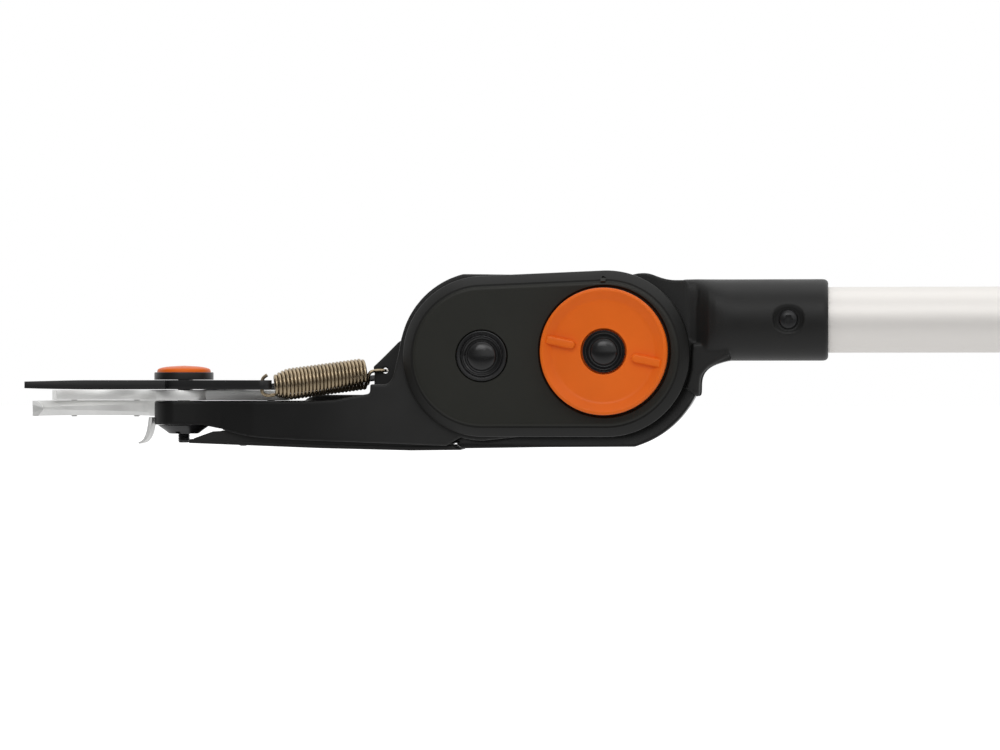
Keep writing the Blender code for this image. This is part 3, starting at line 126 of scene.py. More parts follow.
room = bpy.data.worlds.new("white_room")
room.use_nodes = True
tree = room.node_tree
tree.nodes.clear()
look = add(tree, "SeparateXYZ", {0: add(tree, "TexCoord", {}).outputs["Generated"]})
backdrop = eased(tree, look.outputs["Y"], ROOM_DARK, 1.0, *BACKDROP_EDGE)
ceiling = eased(tree, look.outputs["Z"], ROOM_DARK, CEILING_LIGHT, *CEILING_EDGE)
window = eased(tree, look.outputs["X"], ROOM_DARK, ROOM_FRONT, *FRONT_EDGE)
high = add(tree, "Math", {0: backdrop, 1: ceiling}, operation="MAXIMUM")
walls = add(tree, "Math", {0: high.outputs[0], 1: window}, operation="MAXIMUM")
grey = add(tree, "Background", {"Color": WHITE, "Strength": ROOM_LIGHT})
white = add(tree, "Background", {"Color": WHITE, "Strength": 1.0})
mirrored = add(tree, "Background", {"Color": WHITE, "Strength": walls.outputs[0]})
mixed = by_ray(tree, white.outputs[0], mirrored.outputs[0], grey.outputs[0])
add(tree, "OutputWorld", {"Surface": mixed})
bpy.context.scene.world = room

bm = bmesh.new()
bmesh.ops.create_grid(bm, x_segments=8, y_segments=8, size=FLOOR_REACH)
bmesh.ops.translate(bm, verts=bm.verts, vec=(-0.8, 0, FLOOR_HEIGHT))
floor = solid("paper_floor", bm)
paper = bpy.data.materials.new("white_paper")
paper.use_nodes = True
tree = paper.node_tree
tree.nodes.clear()
place = add(tree, "SeparateXYZ", {0: add(tree, "TexCoord", {}).outputs["Object"]})
near_edge = eased(tree, place.outputs["Y"], ROOM_DARK * 0.6, PAPER_GLOW, *FLOOR_EDGE)
matt = add(tree, "BsdfDiffuse", {"Color": (0.8, 0.8, 0.8, 1)})
glow = add(tree, "Emission", {"Color": WHITE, "Strength": PAPER_GLOW})
fading = add(tree, "Emission", {"Color": WHITE, "Strength": near_edge})
lit = add(tree, "AddShader", {0: matt.outputs[0], 1: glow.outputs[0]})
mixed = by_ray(tree, lit.outputs[0], fading.outputs[0], matt.outputs[0])
add(tree, "OutputMaterial", {"Surface": mixed})
floor.data.materials.append(paper)


def soft_box(name, at, aim, width, height, watts):
    """A rectangular lamp at a place, aimed at another, and not seen by the camera."""
    lamp = bpy.data.lights.new(name, "AREA")
    lamp.shape = "RECTANGLE"
    lamp.size = width
    lamp.size_y = height
    lamp.energy = watts
    made = bpy.data.objects.new(name, lamp)
    made.location = at
    made.rotation_euler = (Vector(at) - Vector(aim)).to_track_quat("Z", "Y").to_euler()
    made.visible_camera = False
    bpy.context.scene.collection.objects.link(made)


soft_box("front_box", at=(-1.55, -1.30, 0.75), aim=(-1.33, 0, -0.02), width=0.8, height=0.5, watts=2.2)
soft_box("long_front_box", at=(-0.7, -1.9, 1.5), aim=(-0.75, 0, 0), width=2.8, height=0.8, watts=8)
soft_box("overhead_box", at=(-0.8, 0.1, 1.7), aim=(-0.8, 0, 0), width=2.8, height=1.0, watts=7)


# The pole: a drawn aluminium tube, clear anodised, with a slot milled along its underside for the
# stem that joins the pull grip to the strap inside.
KNUCKLE = Vector((-1.295, 0, -0.0155))
POLE_R = 0.016
POLE_WALL = 0.0014
POLE_ENDS = (-1.239, -0.022)
SLOT_ENDS = (-0.5682, -0.4478)
SLOT_HALF = 0.0032
ALUMINIUM = (0.93, 0.900, 0.865)

NEAR = Matrix.Rotation(pi / 2, 4, "X")
ALONG = Matrix.Rotation(pi / 2, 4, "Y")
UP = Matrix.Identity(4)
HERE = Vector((0, 0, 0))
ENLARGED = 1024


def arc(centre, radius, start, end, step=3):
    """Points on an arc, its angles in degrees."""
    count = max(1, ceil(abs(end - start) / step))
    turns = [radians(start + (end - start) * i / count) for i in range(count + 1)]
    return [(centre[0] + radius * cos(t), centre[1] + radius * sin(t)) for t in turns]


def spun(profile, turn, at, steps=96):
    """A (radius, height) profile turned about Z, then set with that axis along another.

    It starts part of a step round, so that coaxial shapes with other numbers of steps share no edge.
    """
    bm = bmesh.new()
    line = [bm.verts.new((radius, 0, height)) for radius, height in profile]
    edges = [bm.edges.new(pair) for pair in zip(line, line[1:])]
    if profile[0][0] > 0:
        edges.append(bm.edges.new((line[-1], line[0])))
    bmesh.ops.spin(
        bm, geom=line + edges, cent=(0, 0, 0), axis=(0, 0, 1), angle=2 * pi, steps=steps, use_merge=True
    )
    bmesh.ops.remove_doubles(bm, verts=bm.verts, dist=0.0000005)
    bmesh.ops.recalc_face_normals(bm, faces=bm.faces)
    bm.transform(Matrix.Translation(at) @ turn @ Matrix.Rotation(2.3 / steps, 4, "Z"))
    return bm


def slab(outline, low, high, turn=NEAR, at=HERE, edge=0.0, segments=3):
    """A flat outline given thickness along Z, its two rims rounded, then set in place."""
    bm = bmesh.new()
    face = bm.faces.new([bm.verts.new((x, y, low)) for x, y in outline])
    grown = bmesh.ops.extrude_face_region(bm, geom=[face])["geom"]
    top = [part for part in grown if isinstance(part, bmesh.types.BMVert)]
    bmesh.ops.translate(bm, verts=top, vec=(0, 0, high - low))
    bmesh.ops.recalc_face_normals(bm, faces=bm.faces)
    if edge:
        rims = [e for e in bm.edges if abs(e.verts[0].co.z - e.verts[1].co.z) < 0.000001]
        bmesh.ops.bevel(
            bm,
            geom=rims,
            offset=edge,
            offset_type="OFFSET",
            segments=segments,
            profile=0.5,
            affect="EDGES",
            clamp_overlap=True,
            material=-1,
        )
    bm.transform(Matrix.Translation(at) @ turn)
    return bm


def settle(piece):
    """Applies a piece's modifiers to its mesh."""
    bpy.context.view_layer.update()
    graph = bpy.context.evaluated_depsgraph_get()
    mesh = bpy.data.meshes.new_from_object(piece.evaluated_get(graph))
    old = piece.data
    piece.modifiers.clear()
    piece.data = mesh
    bpy.data.meshes.remove(old)


def shape(piece, operation, *tools):
    """Cuts, joins or trims a piece with closed tool shapes, which then go. It works enlarged."""
    piece.data.transform(Matrix.Scale(ENLARGED, 4))
    for tool in tools:
        tool.transform(Matrix.Scale(ENLARGED, 4))
    others = [solid("tool", tool) for tool in tools]
    for other in others:
        boolean = piece.modifiers.new("shape", "BOOLEAN")
        boolean.operation = operation
        boolean.solver = "EXACT"
        boolean.object = other
    settle(piece)
    for other in others:
        bpy.data.objects.remove(other)
    piece.data.transform(Matrix.Scale(1 / ENLARGED, 4))


def end_piece(piece, body, finish, node, angle=32, home=KNUCKLE):
    """The last step of each piece: its place, finish and shading, what it rides on and stands for."""
    piece.data.transform(Matrix.Translation(home))
    piece.data.materials.clear()
    for coat in [finish] if isinstance(finish, bpy.types.Material) else finish:
        piece.data.materials.append(coat)
    piece.data.shade_smooth()
    piece.data.set_sharp_from_angle(angle=radians(angle))
    if body:
        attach(piece, body)
    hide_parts(node)


def shades(tree, factor, stops):
    """A colour ramp over (place, colour) stops."""
    ramp = add(tree, "ValToRGB", {0: factor})
    points = ramp.color_ramp.elements
    while len(points) < len(stops):
        points.new(0.5)
    for point, (place, colour) in zip(points, stops):
        point.position = place
        point.color = (*colour, 1)
    return ramp.outputs[0]


def tinted(colour, share):
    """A colour made lighter or darker by a share."""
    return tuple(min(1.0, part * share) for part in colour)


def between(tree, value, low, high, start=0.3, end=0.7):
    """A noise value brought into a range."""
    made = add(
        tree,
        "MapRange",
        {"Value": value, "From Min": start, "From Max": end, "To Min": low, "To Max": high},
    )
    return made.outputs[0]


def noise(tree, place, scale, detail=3.0):
    """A cloudy value over a place, between 0 and 1."""
    made = add(tree, "TexNoise", {"Vector": place, "Scale": scale, "Detail": detail, "Roughness": 0.55})
    return made.outputs["Fac"]


def blank(name, **levels):
    """A new finish with its node tree and its shader, some of the shader's levels set."""
    made = bpy.data.materials.new(name)
    made.use_nodes = True
    shader = made.node_tree.nodes["Principled BSDF"]
    for level, value in levels.items():
        shader.inputs[level.replace("_", " ")].default_value = value
    return made, made.node_tree, shader


def dress(tree, shader, colour, roughness, strength, depth, height):
    """Joins a finish's colour, roughness and fine relief to its shader."""
    bump = add(tree, "Bump", {"Strength": strength, "Distance": depth, "Height": height})
    for name, socket in (("Base Color", colour), ("Roughness", roughness), ("Normal", bump.outputs[0])):
        tree.links.new(socket, shader.inputs[name])


def moulded(
    name, colour, roughness, metallic=0.0, spread=0.10, patch=30, grain=2600, depth=0.00001,
    stretch=(1, 1, 1), glint=0.5,
):
    """A finish whose tone and gloss drift in soft patches, over a fine grain that catches light."""
    made, tree, shader = blank(name, Metallic=metallic, Specular_IOR_Level=glint)
    own_space = add(tree, "TexCoord", {}).outputs["Object"]
    place = add(tree, "Mapping", {"Vector": own_space, "Scale": stretch})
    soft = noise(tree, place.outputs[0], patch)
    fine = noise(tree, place.outputs[0], grain, 2.0)
    stops = [(0.32, tinted(colour, 1 - spread)), (0.68, tinted(colour, 1 + spread))]
    tone = shades(tree, soft, stops)
    dress(
        tree, shader, tone, between(tree, soft, low=roughness * 0.88, high=roughness * 1.12),
        strength=0.6, depth=depth, height=fine,
    )
    return made


aluminium = moulded(
    "clear_anodised_aluminium", ALUMINIUM, roughness=0.5, metallic=0.4, spread=0.03, patch=12,
    grain=900, depth=0.000012, stretch=(0.08, 1, 1),
)
length = POLE_ENDS[1] - POLE_ENDS[0]
lip = 0.0003
tube = [
    (POLE_R - lip, 0), (POLE_R, lip), (POLE_R, length - lip), (POLE_R - lip, length),
    (POLE_R - POLE_WALL, length), (POLE_R - POLE_WALL, 0),
]
pole = solid("drawn_pole", spun(tube, ALONG, (POLE_ENDS[0], 0, 0), 128))
ends = [(SLOT_ENDS[0] + SLOT_HALF, 90, 270), (SLOT_ENDS[1] - SLOT_HALF, -90, 90)]
slot_line = [point for x, start, end in ends for point in arc((x, 0), SLOT_HALF, start, end, 15)]
shape(pole, "DIFFERENCE", slab(slot_line, -POLE_R - 0.004, -POLE_R + 0.004, UP))
end_piece(pole, "pole", aluminium, "pole_tube", home=HERE)


# The yoke and collar: one moulding in glass-filled nylon. A round socket takes the pole's end and
# flows into two flat cheeks that stand either side of the knuckle pulley.
NYLON = (0.0140, 0.0140, 0.0136)
CHEEK_IN = 0.0096
CHEEK_OUT = 0.0127
RISE = 0.0155
COLLAR_R = 0.0199
COLLAR_BORE = 0.0163
YOKE_R = 0.0375
FORK_R = 0.0491
SCREW_AT = 0.0885
SCREW_HOLE_R = 0.0025
KNUCKLE_HOLE_R = 0.0051
LIP_HALF = 0.0146
FAR = Matrix.Rotation(-pi / 2, 4, "X")


def rounded(corners, steps=5, closed=True):
    """A line through (x, y, cut) corners, each corner rounded from a cut's length either side."""
    line = []
    last = len(corners) - 1
    for i, (x, y, cut) in enumerate(corners):
        here = Vector((x, y))
        if cut == 0 or (not closed and i in (0, last)):
            line.append((x, y))
            continue
        back = Vector(corners[i - 1][:2]) - here
        ahead = Vector(corners[(i + 1) % len(corners)][:2]) - here
        start = here + back.normalized() * min(cut, back.length * 0.49)
        end = here + ahead.normalized() * min(cut, ahead.length * 0.49)
        for step in range(steps + 1):
            t = step / steps
            point = start * (1 - t) ** 2 + here * (2 * t * (1 - t)) + end * t**2
            line.append((point.x, point.y))
    return line


def socket(sections, count=72):
    """A closed body through sections along X, each (x, half width, half height, squareness)."""
    bm = bmesh.new()
    rings = []
    for x, width, height, square in sections:
        ring = []
        for i in range(count):
            turn = 2 * pi * (i + 0.5) / count
            across = abs(cos(turn)) ** (2 / square) * (1 if cos(turn) > 0 else -1)
            along = abs(sin(turn)) ** (2 / square) * (1 if sin(turn) > 0 else -1)
            ring.append(bm.verts.new((x, width * across, RISE + height * along)))
        edges = [bm.edges.new((ring[i - 1], ring[i])) for i in range(count)]
        if rings:
            bmesh.ops.bridge_loops(bm, edges=rings[-1] + edges)
        rings.append(edges)
    for edges in (rings[0], rings[-1]):
        bmesh.ops.contextual_create(bm, geom=edges)
    bmesh.ops.recalc_face_normals(bm, faces=bm.faces)
    return bm


def block(low, high):
    """A plain block between two corners."""
    bm = bmesh.new()
    bmesh.ops.create_cube(bm, size=1)
    low, high = Vector(low), Vector(high)
    bmesh.ops.scale(bm, verts=bm.verts, vec=high - low)
    bmesh.ops.translate(bm, verts=bm.verts, vec=(high + low) / 2)
    return bm


def rod(low, *parts):
    """A round bar's profile from its low end: each part's radius, and the height that it ends at."""
    line = [(0, low)]
    for radius, high in parts:
        line += [(radius, low), (radius, high)]
        low = high
    return line + [(0, low)]


def drill(radius, at, half=0.05, steps=48):
    """A round cutter along Y through a point (x, z) in the knuckle's frame."""
    return spun(rod(0, (radius, 2 * half)), NEAR, Vector((at[0], half, at[1])), steps)


def soften(piece, voxel, passes, keep):
    """Melts a piece's edges and joints into small fillets, as a moulding tool leaves them."""
    remesh = piece.modifiers.new("voxels", "REMESH")
    remesh.mode = "VOXEL"
    remesh.voxel_size = voxel
    smooth = piece.modifiers.new("smooth", "SMOOTH")
    smooth.factor = 0.5
    smooth.iterations = passes
    thin = piece.modifiers.new("thin", "DECIMATE")
    thin.ratio = keep
    settle(piece)


nylon = moulded(
    "dark_moulded_nylon", NYLON, roughness=0.46, grain=3200, depth=0.000012, spread=0.12, glint=0.3
)
yoke_line = [(0.0600, -0.0010), (0.0400, 0.0060), (0.0392, 0.0348)]
yoke_line += rounded([
    (0.0382, 0.0348, 0), (0.0298, 0.0348, 0.005), (0.0205, 0.0384, 0.003), (0.0150, 0.0381, 0.002),
    (0.0091, 0.0364, 0),
], 6, False)
yoke_line += arc((0, 0), YOKE_R, 78, 336.6)
yoke_line += rounded([
    (0.0375, -0.0162, 0), (0.0443, -0.0222, 0.0012), (0.0458, -0.0211, 0.0012),
    (0.0460, -0.0119, 0.004), (0.0500, -0.0072, 0.004), (0.0580, -0.0046, 0.004), (0.0610, -0.0043, 0),
], 6, False)
yoke = solid("yoke_and_collar", slab(yoke_line, -CHEEK_OUT, CHEEK_OUT))
lip_line = [
    (0.0412, 0.0040), (0.0413, -0.0084), (0.0400, -0.0135), (0.0386, -0.0178), (0.0438, -0.0214),
    (0.0452, -0.0206), (0.0459, -0.0119), (0.0500, -0.0072), (0.0600, -0.0020), (0.0600, 0.0040),
]
swing = [
    (0.02, -0.0600), (0.0340, -0.0300), (0.0400, -0.0130), (0.0412, -0.0060), (0.0480, 0.0470),
    (0.02, 0.0500),
]
waist = [
    (0.0378, 0.0123, 0.0197, 9), (0.0412, 0.0124, 0.0198, 7), (0.0440, 0.0129, 0.0199, 5.4),
    (0.0470, 0.0150, COLLAR_R, 3.9), (0.0500, 0.0176, COLLAR_R, 3), (0.0535, 0.0190, COLLAR_R, 2.5),
    (0.0575, 0.0197, COLLAR_R, 2.2), (0.0620, COLLAR_R, COLLAR_R, 2),
]
mouth = [(0.1054, 0), (0.1066, 0.0003), (0.1073, 0.0009), (0.1077, 0.0017), (0.1078, 0.0028)]
waist += [(x, COLLAR_R - less, COLLAR_R - less, 2) for x, less in mouth]
shape(yoke, "UNION", slab(lip_line, -LIP_HALF, LIP_HALF, edge=0.0026, segments=5), socket(waist))
shape(yoke, "DIFFERENCE", slab(swing, CHEEK_OUT, 0.03), slab(swing, -0.03, -CHEEK_OUT))
hair = 0.00002
recess_floor = COLLAR_R - 0.0024
recess = [(0, 0), (0.0062, 0), (0.0062, 0.0009), (0.0074, 0.0009), (0.0076, 0.01), (0, 0.01)]
pole_bore = [(0, 0), (COLLAR_BORE, 0), (COLLAR_BORE, 0.0512)]
pole_bore += [(COLLAR_BORE + 0.0011, 0.0523), (COLLAR_BORE + 0.0011, 0.06), (0, 0.06)]
shape(
    yoke,
    "DIFFERENCE",
    spun(pole_bore, ALONG, Vector((0.0557, 0, RISE))),
    drill(FORK_R, (0, 0), CHEEK_IN, 180),
    block((-0.06, -CHEEK_IN + hair, -0.07), (0.0535, CHEEK_IN - hair, -0.006)),
    block((0.04, -0.0065, RISE - 0.006), (0.07, 0.0065, RISE + 0.006)),
    drill(KNUCKLE_HOLE_R, (0, 0)),
    drill(SCREW_HOLE_R, (SCREW_AT, RISE)),
    spun(recess, NEAR, Vector((SCREW_AT, -recess_floor, RISE)), 64),
    spun(recess, FAR, Vector((SCREW_AT, recess_floor, RISE)), 64),
)
soften(yoke, voxel=0.0005, passes=7, keep=0.5)
end_piece(yoke, "pole", nylon, "yoke_collar", angle=60)


# The collar's two screws: black button heads with a six-lobed drive, sunk in round recesses on
# either side, that hold the pole and its plug in the collar.
SCREW_HEAD_R = 0.0047
CLEARANCE = 0.0003
SIDES = ((-1, NEAR, "near"), (1, FAR, "far"))
BLACK_STEEL = (0.018, 0.018, 0.019)

black_steel = moulded(
    "blackened_steel", BLACK_STEEL, roughness=0.3, metallic=0.35, spread=0.15, patch=90, grain=4000,
    depth=0.000006,
)


def lobes(radius, depth, low, turn, at):
    """A six-lobed driver socket."""
    line = []
    for i in range(48):
        spin = 2 * pi * i / 48
        reach = radius * (1 + 0.16 * cos(6 * spin))
        line.append((reach * cos(spin), reach * sin(spin)))
    return slab(line, low, low + depth, turn, at)


def button_screw(name, body, node, head_r, head, shank_r, shank, drive_r, turn, at, home=KNUCKLE):
    """A black button-headed screw whose seat is at a point, its shank running back from there."""
    dome = [(head_r * 0.45, head, 0.001), (head_r * 0.85, head * 0.7, 0.001)]
    profile = [(0, head)] + rounded(dome + [(head_r, 0.0004, 0.0004), (head_r, 0, 0)], 5, False)
    profile += [(shank_r, 0), (shank_r, -shank + 0.0008), (shank_r * 0.6, -shank), (0, -shank)]
    made = solid(name, spun(profile, turn, at, 48))
    shape(made, "DIFFERENCE", lobes(drive_r, 0.004, head * 0.25, turn, at))
    end_piece(made, body, black_steel, node, home=home)


seat = recess_floor + CLEARANCE
for side, turn, label in SIDES:
    name, at = f"collar_button_screw_{label}", Vector((SCREW_AT, side * seat, RISE))
    node = f"collar_screw_{label}"
    button_screw(
        name, "pole", node, head_r=SCREW_HEAD_R, head=0.0022, shank_r=0.0024, shank=0.009,
        drive_r=0.0020, turn=turn, at=at,
    )


# The plug in the pole's mouth: a nylon moulding with the strap's channel, hidden by the collar. Its
# CAD shape is shown, with only the finish given here.
def coat(node, finish):
    """Gives a part that is shown in its CAD shape its finish."""
    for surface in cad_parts[node].material_slots:
        surface.material = finish


coat("pole_insert", nylon)


# The strap guard: the trough under the knuckle pulley and reel, moulded with a polished outer
# skin, which shows as a narrow band below the covers.
GUARD_R = 0.0484
GUARD_HALF = 0.0092
GUARD_BOTTOM = 0.0464
REEL = Vector((-0.0597, -0.0021))

gloss_nylon = moulded(
    "polished_nylon", tinted(NYLON, 0.9), roughness=0.24, spread=0.08, grain=2200, depth=0.000003
)
rim_end = REEL.x - 0.0110
low_turn = degrees(asin(GUARD_BOTTOM / GUARD_R)) * -1
inside_r = GUARD_R - 0.0024
guard_line = arc((0, 0), GUARD_R, -24, low_turn, 2)
guard_line += [(-0.0300, -GUARD_BOTTOM - 0.0003), (rim_end, -GUARD_BOTTOM - 0.0010)]
guard_line += [(rim_end - 0.0040, -GUARD_BOTTOM + 0.0024)] + arc((0, 0), inside_r, low_turn - 1, -24, 2)
guard = solid("polished_strap_guard", slab(guard_line, -GUARD_HALF, GUARD_HALF, edge=0.0006))
web_line = arc((0, 0), GUARD_R - 0.0006, -24.5, low_turn, 3)
web_line += [(rim_end, -GUARD_BOTTOM - 0.0004), (rim_end - 0.0030, -0.0410), (-0.0180, -0.0390)]
web_line += arc((0, 0), 0.0095, 200, 0, 10) + [(0.0330, -0.0147)]
for side in (-1, 1):
    low = side * (GUARD_HALF - 0.0008) - 0.0008
    shape(guard, "UNION", slab(web_line, low + 0.00002, low + 0.00158))
shape(guard, "DIFFERENCE", drill(KNUCKLE_HOLE_R, (0, 0)))
end_piece(guard, "head", gloss_nylon, "strap_guard")


# The knuckle pulley and the reel: acetal wheels that lead and wind the pull strap. The reel's small
# hub on the far side winds the blade's strap.
STRAP_WIDTH = 0.009
PULLEY_R = 0.0149
REEL_R = 0.030
REEL_HUB_R = 0.0047
REEL_HOLES = 6
REEL_HOLE_R = 0.0062
REEL_HOLES_AT = 0.0172
M6_HOLE_R = 0.0031
ARM_IN = 0.0130
ACETAL = (0.020, 0.020, 0.019)

acetal = moulded("black_acetal", ACETAL, roughness=0.33, spread=0.06, grain=1800, depth=0.000004)
groove = STRAP_WIDTH / 2 + 0.0005
pulley_half = 0.0064
pulley_profile = rounded([
    (0.0179, pulley_half, 0.0006), (0.0179, groove + 0.0004, 0.0003), (PULLEY_R, groove, 0.0003),
    (PULLEY_R, -groove, 0.0003), (0.0179, -groove - 0.0004, 0.0003), (0.0179, -pulley_half, 0.0006),
    (0.0125, -pulley_half, 0.0004), (0.0115, -pulley_half + 0.0014, 0.0006),
    (0.0085, -pulley_half + 0.0014, 0.0006), (0.0078, -pulley_half, 0.0003),
    (KNUCKLE_HOLE_R, -pulley_half, 0), (KNUCKLE_HOLE_R, pulley_half, 0), (0.0078, pulley_half, 0.0003),
    (0.0085, pulley_half - 0.0014, 0.0006), (0.0115, pulley_half - 0.0014, 0.0006),
    (0.0125, pulley_half, 0.0004),
], 3)
pulley = solid("knuckle_wheel", spun(pulley_profile, NEAR, HERE, 96))
end_piece(pulley, "pulley", acetal, "knuckle_pulley")

side_face = groove + 0.0014
hub_end = ARM_IN - 0.0004
reel_rim = REEL_R - 0.0026
reel_profile = rounded([
    (REEL_R + 0.0030, side_face, 0.0006), (REEL_R + 0.0030, groove, 0.0003), (REEL_R, groove, 0.0003),
    (REEL_R, -groove, 0.0003), (REEL_R + 0.0030, -groove, 0.0003),
    (REEL_R + 0.0030, -side_face, 0.0006), (reel_rim, -side_face, 0.0004), (reel_rim, -0.0016, 0.0006),
    (0.0075, -0.0016, 0.0006), (0.0075, -side_face, 0.0003), (REEL_HUB_R + 0.0012, -side_face, 0.0003),
    (REEL_HUB_R, -side_face - 0.0006, 0.0003), (REEL_HUB_R, -hub_end + 0.0008, 0.0002),
    (REEL_HUB_R + 0.0019, -hub_end + 0.0008, 0.0002), (REEL_HUB_R + 0.0019, -hub_end, 0.0002),
    (M6_HOLE_R, -hub_end, 0), (M6_HOLE_R, side_face, 0), (0.0075, side_face, 0.0003),
    (0.0075, 0.0016, 0.0006), (reel_rim, 0.0016, 0.0006), (reel_rim, side_face, 0.0004),
], 3)
reel_at = Vector((REEL.x, 0, REEL.y))
reel = solid("strap_drum", spun(reel_profile, NEAR, reel_at, 128))
holes = []
for i in range(REEL_HOLES):
    spin = radians(360 / REEL_HOLES * i + 20)
    at = (REEL.x + REEL_HOLES_AT * cos(spin), REEL.y + REEL_HOLES_AT * sin(spin))
    holes.append(drill(REEL_HOLE_R, at, 0.0030, 40))
shape(reel, "DIFFERENCE", *holes)
end_piece(reel, "reel", acetal, "strap_reel")


# The straps: black woven polyester, one from the pull grip over the knuckle pulley onto the reel, and
# a narrower one from the reel's hub to the blade's drive pin, twisted a quarter turn on its way.
STRAP_THICK = 0.0012
BLADE_STRAP_WIDTH = 0.0042
STRAP_GAP = 0.0003
PIVOT_X = -0.2115
COUNTER_TOP = -0.0188
DRIVE_PIN = Vector((-0.0030, 0.0270))
DRIVE_PIN_R = 0.002
SLIDE_X = -0.56
WEBBING = (0.028, 0.028, 0.029)


def strap(name, stations, width, thick):
    """A woven strap through (point, across) stations, with rounded selvedges and a length map."""
    corner = thick * 0.32
    section = rounded([
        (width / 2, thick / 2, corner), (-width / 2, thick / 2, corner),
        (-width / 2, -thick / 2, corner), (width / 2, -thick / 2, corner),
    ], 2)
    bm = bmesh.new()
    uv = bm.loops.layers.uv.new("weave")
    rings, run, far = [], [], 0.0
    for i, (point, across) in enumerate(stations):
        before = stations[max(i - 1, 0)][0]
        after = stations[min(i + 1, len(stations) - 1)][0]
        far += (point - before).length
        run.append(far)
        along = (after - before).normalized()
        wide = (across - along * across.dot(along)).normalized()
        deep = along.cross(wide)
        rings.append([bm.verts.new(point + wide * a + deep * b) for a, b in section])
    count = len(section)
    for i in range(len(rings) - 1):
        for j in range(count):
            k = (j + 1) % count
            face = bm.faces.new((rings[i][j], rings[i][k], rings[i + 1][k], rings[i + 1][j]))
            for loop, (r, c) in zip(face.loops, ((i, j), (i, k), (i + 1, k), (i + 1, j))):
                loop[uv].uv = (section[c][0], run[r])
    for ring in (rings[0], rings[-1]):
        bm.faces.new(ring)
    bmesh.ops.recalc_face_normals(bm, faces=bm.faces)
    return solid(name, bm)


webbing, tree, shader = blank("woven_webbing", Sheen_Weight=0.25)
threads = add(tree, "UVMap", {}, uv_map="weave")
waves = []
for scale, wander, direction in ((260.0, 0.6, "X"), (180.0, 1.2, "DIAGONAL")):
    sockets = {"Vector": threads.outputs[0], "Scale": scale, "Distortion": wander}
    sockets |= {"Detail": 1.0, "Detail Scale": 300.0}
    waves.append(add(tree, "TexWave", sockets, bands_direction=direction).outputs["Fac"])
weave = add(tree, "Math", {0: waves[0], 1: waves[1]}, operation="MULTIPLY").outputs[0]
stops = [(0.0, tinted(WEBBING, 0.45)), (0.6, WEBBING), (1.0, tinted(WEBBING, 1.9))]
tone = shades(tree, weave, stops)
dress(
    tree, shader, tone, between(tree, weave, low=0.85, high=0.6, start=0, end=1), strength=0.9,
    depth=0.00018, height=weave,
)

ACROSS = Vector((0, 1, 0))
split = 0.030
start = SLIDE_X - KNUCKLE.x
bar_loop = 0.0022 + STRAP_THICK / 2 + 0.0002
run = [(start + x, RISE + z) for x, z in arc((0, 0), bar_loop, -150, 90, 12)]
run += [(start - 0.03 - (start - 0.03 - split) * i / 40, RISE + STRAP_GAP) for i in range(41)]
stations = [(Vector((x, 0, z)), ACROSS) for x, z in run]
long_strap = strap("pull_strap_in_pole", stations, STRAP_WIDTH, STRAP_THICK)
end_piece(long_strap, None, webbing, "pole_strap", angle=50)
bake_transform(long_strap)

drum = REEL_R + STRAP_THICK / 2 + STRAP_GAP
towards = degrees(atan2(REEL.y, REEL.x)) % 360
span = hypot(*REEL)
leave = towards - degrees(pi / 2 - asin((RISE + STRAP_GAP + drum) / span))
land = leave - 180
run = [(split - 0.0003, RISE + STRAP_GAP)]
run += arc((0, 0), RISE + STRAP_GAP, 90, leave, 5)
run += arc(REEL, drum, land, land - 300, 4)
stations = [(Vector((x, 0, z)), ACROSS) for x, z in run]
wound_strap = strap("pull_strap_on_reel", stations, STRAP_WIDTH, STRAP_THICK)
end_piece(wound_strap, "head", webbing, "reel_strap", angle=50)

strap_y = (STRAP_WIDTH / 2 + 0.0019 + ARM_IN - 0.0012) / 2
hub = REEL_HUB_R + STRAP_THICK / 2 + STRAP_GAP
wound = [(Vector((x, strap_y, z)), ACROSS) for x, z in arc(REEL, hub, 150, -90, 10)]
pin = Vector((PIVOT_X + DRIVE_PIN.x, DRIVE_PIN.y, COUNTER_TOP - BLADE_STRAP_WIDTH / 2 - 0.0006))
curl = DRIVE_PIN_R + STRAP_THICK / 2 + 0.0002
ring = [
    (Vector((pin.x + x, pin.y + y, pin.z)), Vector((0, 0, 1)))
    for x, y in arc((0, 0), curl, -80, -360, 15)
]
first, last = wound[-1][0], ring[0][0]
free = []
for i in range(1, 28):
    share = i / 28
    free.append((first.lerp(last, share), Vector((0, cos(pi / 2 * share), sin(pi / 2 * share)))))
stations = wound + free + ring
short_strap = strap("blade_pull_strap", stations, BLADE_STRAP_WIDTH, STRAP_THICK)
end_piece(short_strap, None, webbing, "blade_strap", angle=50)
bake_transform(short_strap)


# The arm: the head's long nylon moulding. Two side walls round the reel, a channel on top with a
# middle rib that holds the return spring, a waist, and a round boss at the front for the blades.
ARM_OUT = 0.0160
BOSS_R = 0.0147
ARM_TOP = -0.0243
ARM_FLOOR = -0.0360
HOOK_BOTTOM = -0.0318
SPRING_HOLE = (REEL.x - 0.0504, -0.0092)
SPRING_HOLE_R = 0.0016
SPRING_RIB = 0.0024
# The span along X over which the arm's painted shade fades out: its front end is painted darker.
PAINTED_SHADE_FROM = 0.150
PAINTED_SHADE_TO = 0.108


def darkened_by_painted_shade(material, axis, share, start, end):
    """Paints shade into a finish, darker by its place along an axis."""
    tree = material.node_tree
    shader = tree.nodes["Principled BSDF"]
    place = add(tree, "TexCoord", {})
    parts = add(tree, "SeparateXYZ", {0: place.outputs["Object"]})
    off = add(tree, "Math", {0: parts.outputs[axis]}, operation="ABSOLUTE")
    light = eased(tree, off.outputs[0], share, 1.0, start, end)
    colour = shader.inputs["Base Color"].links[0].from_socket
    scaled = add(tree, "VectorMath", {0: colour, "Scale": light}, operation="SCALE")
    tree.links.new(scaled.outputs[0], shader.inputs["Base Color"])
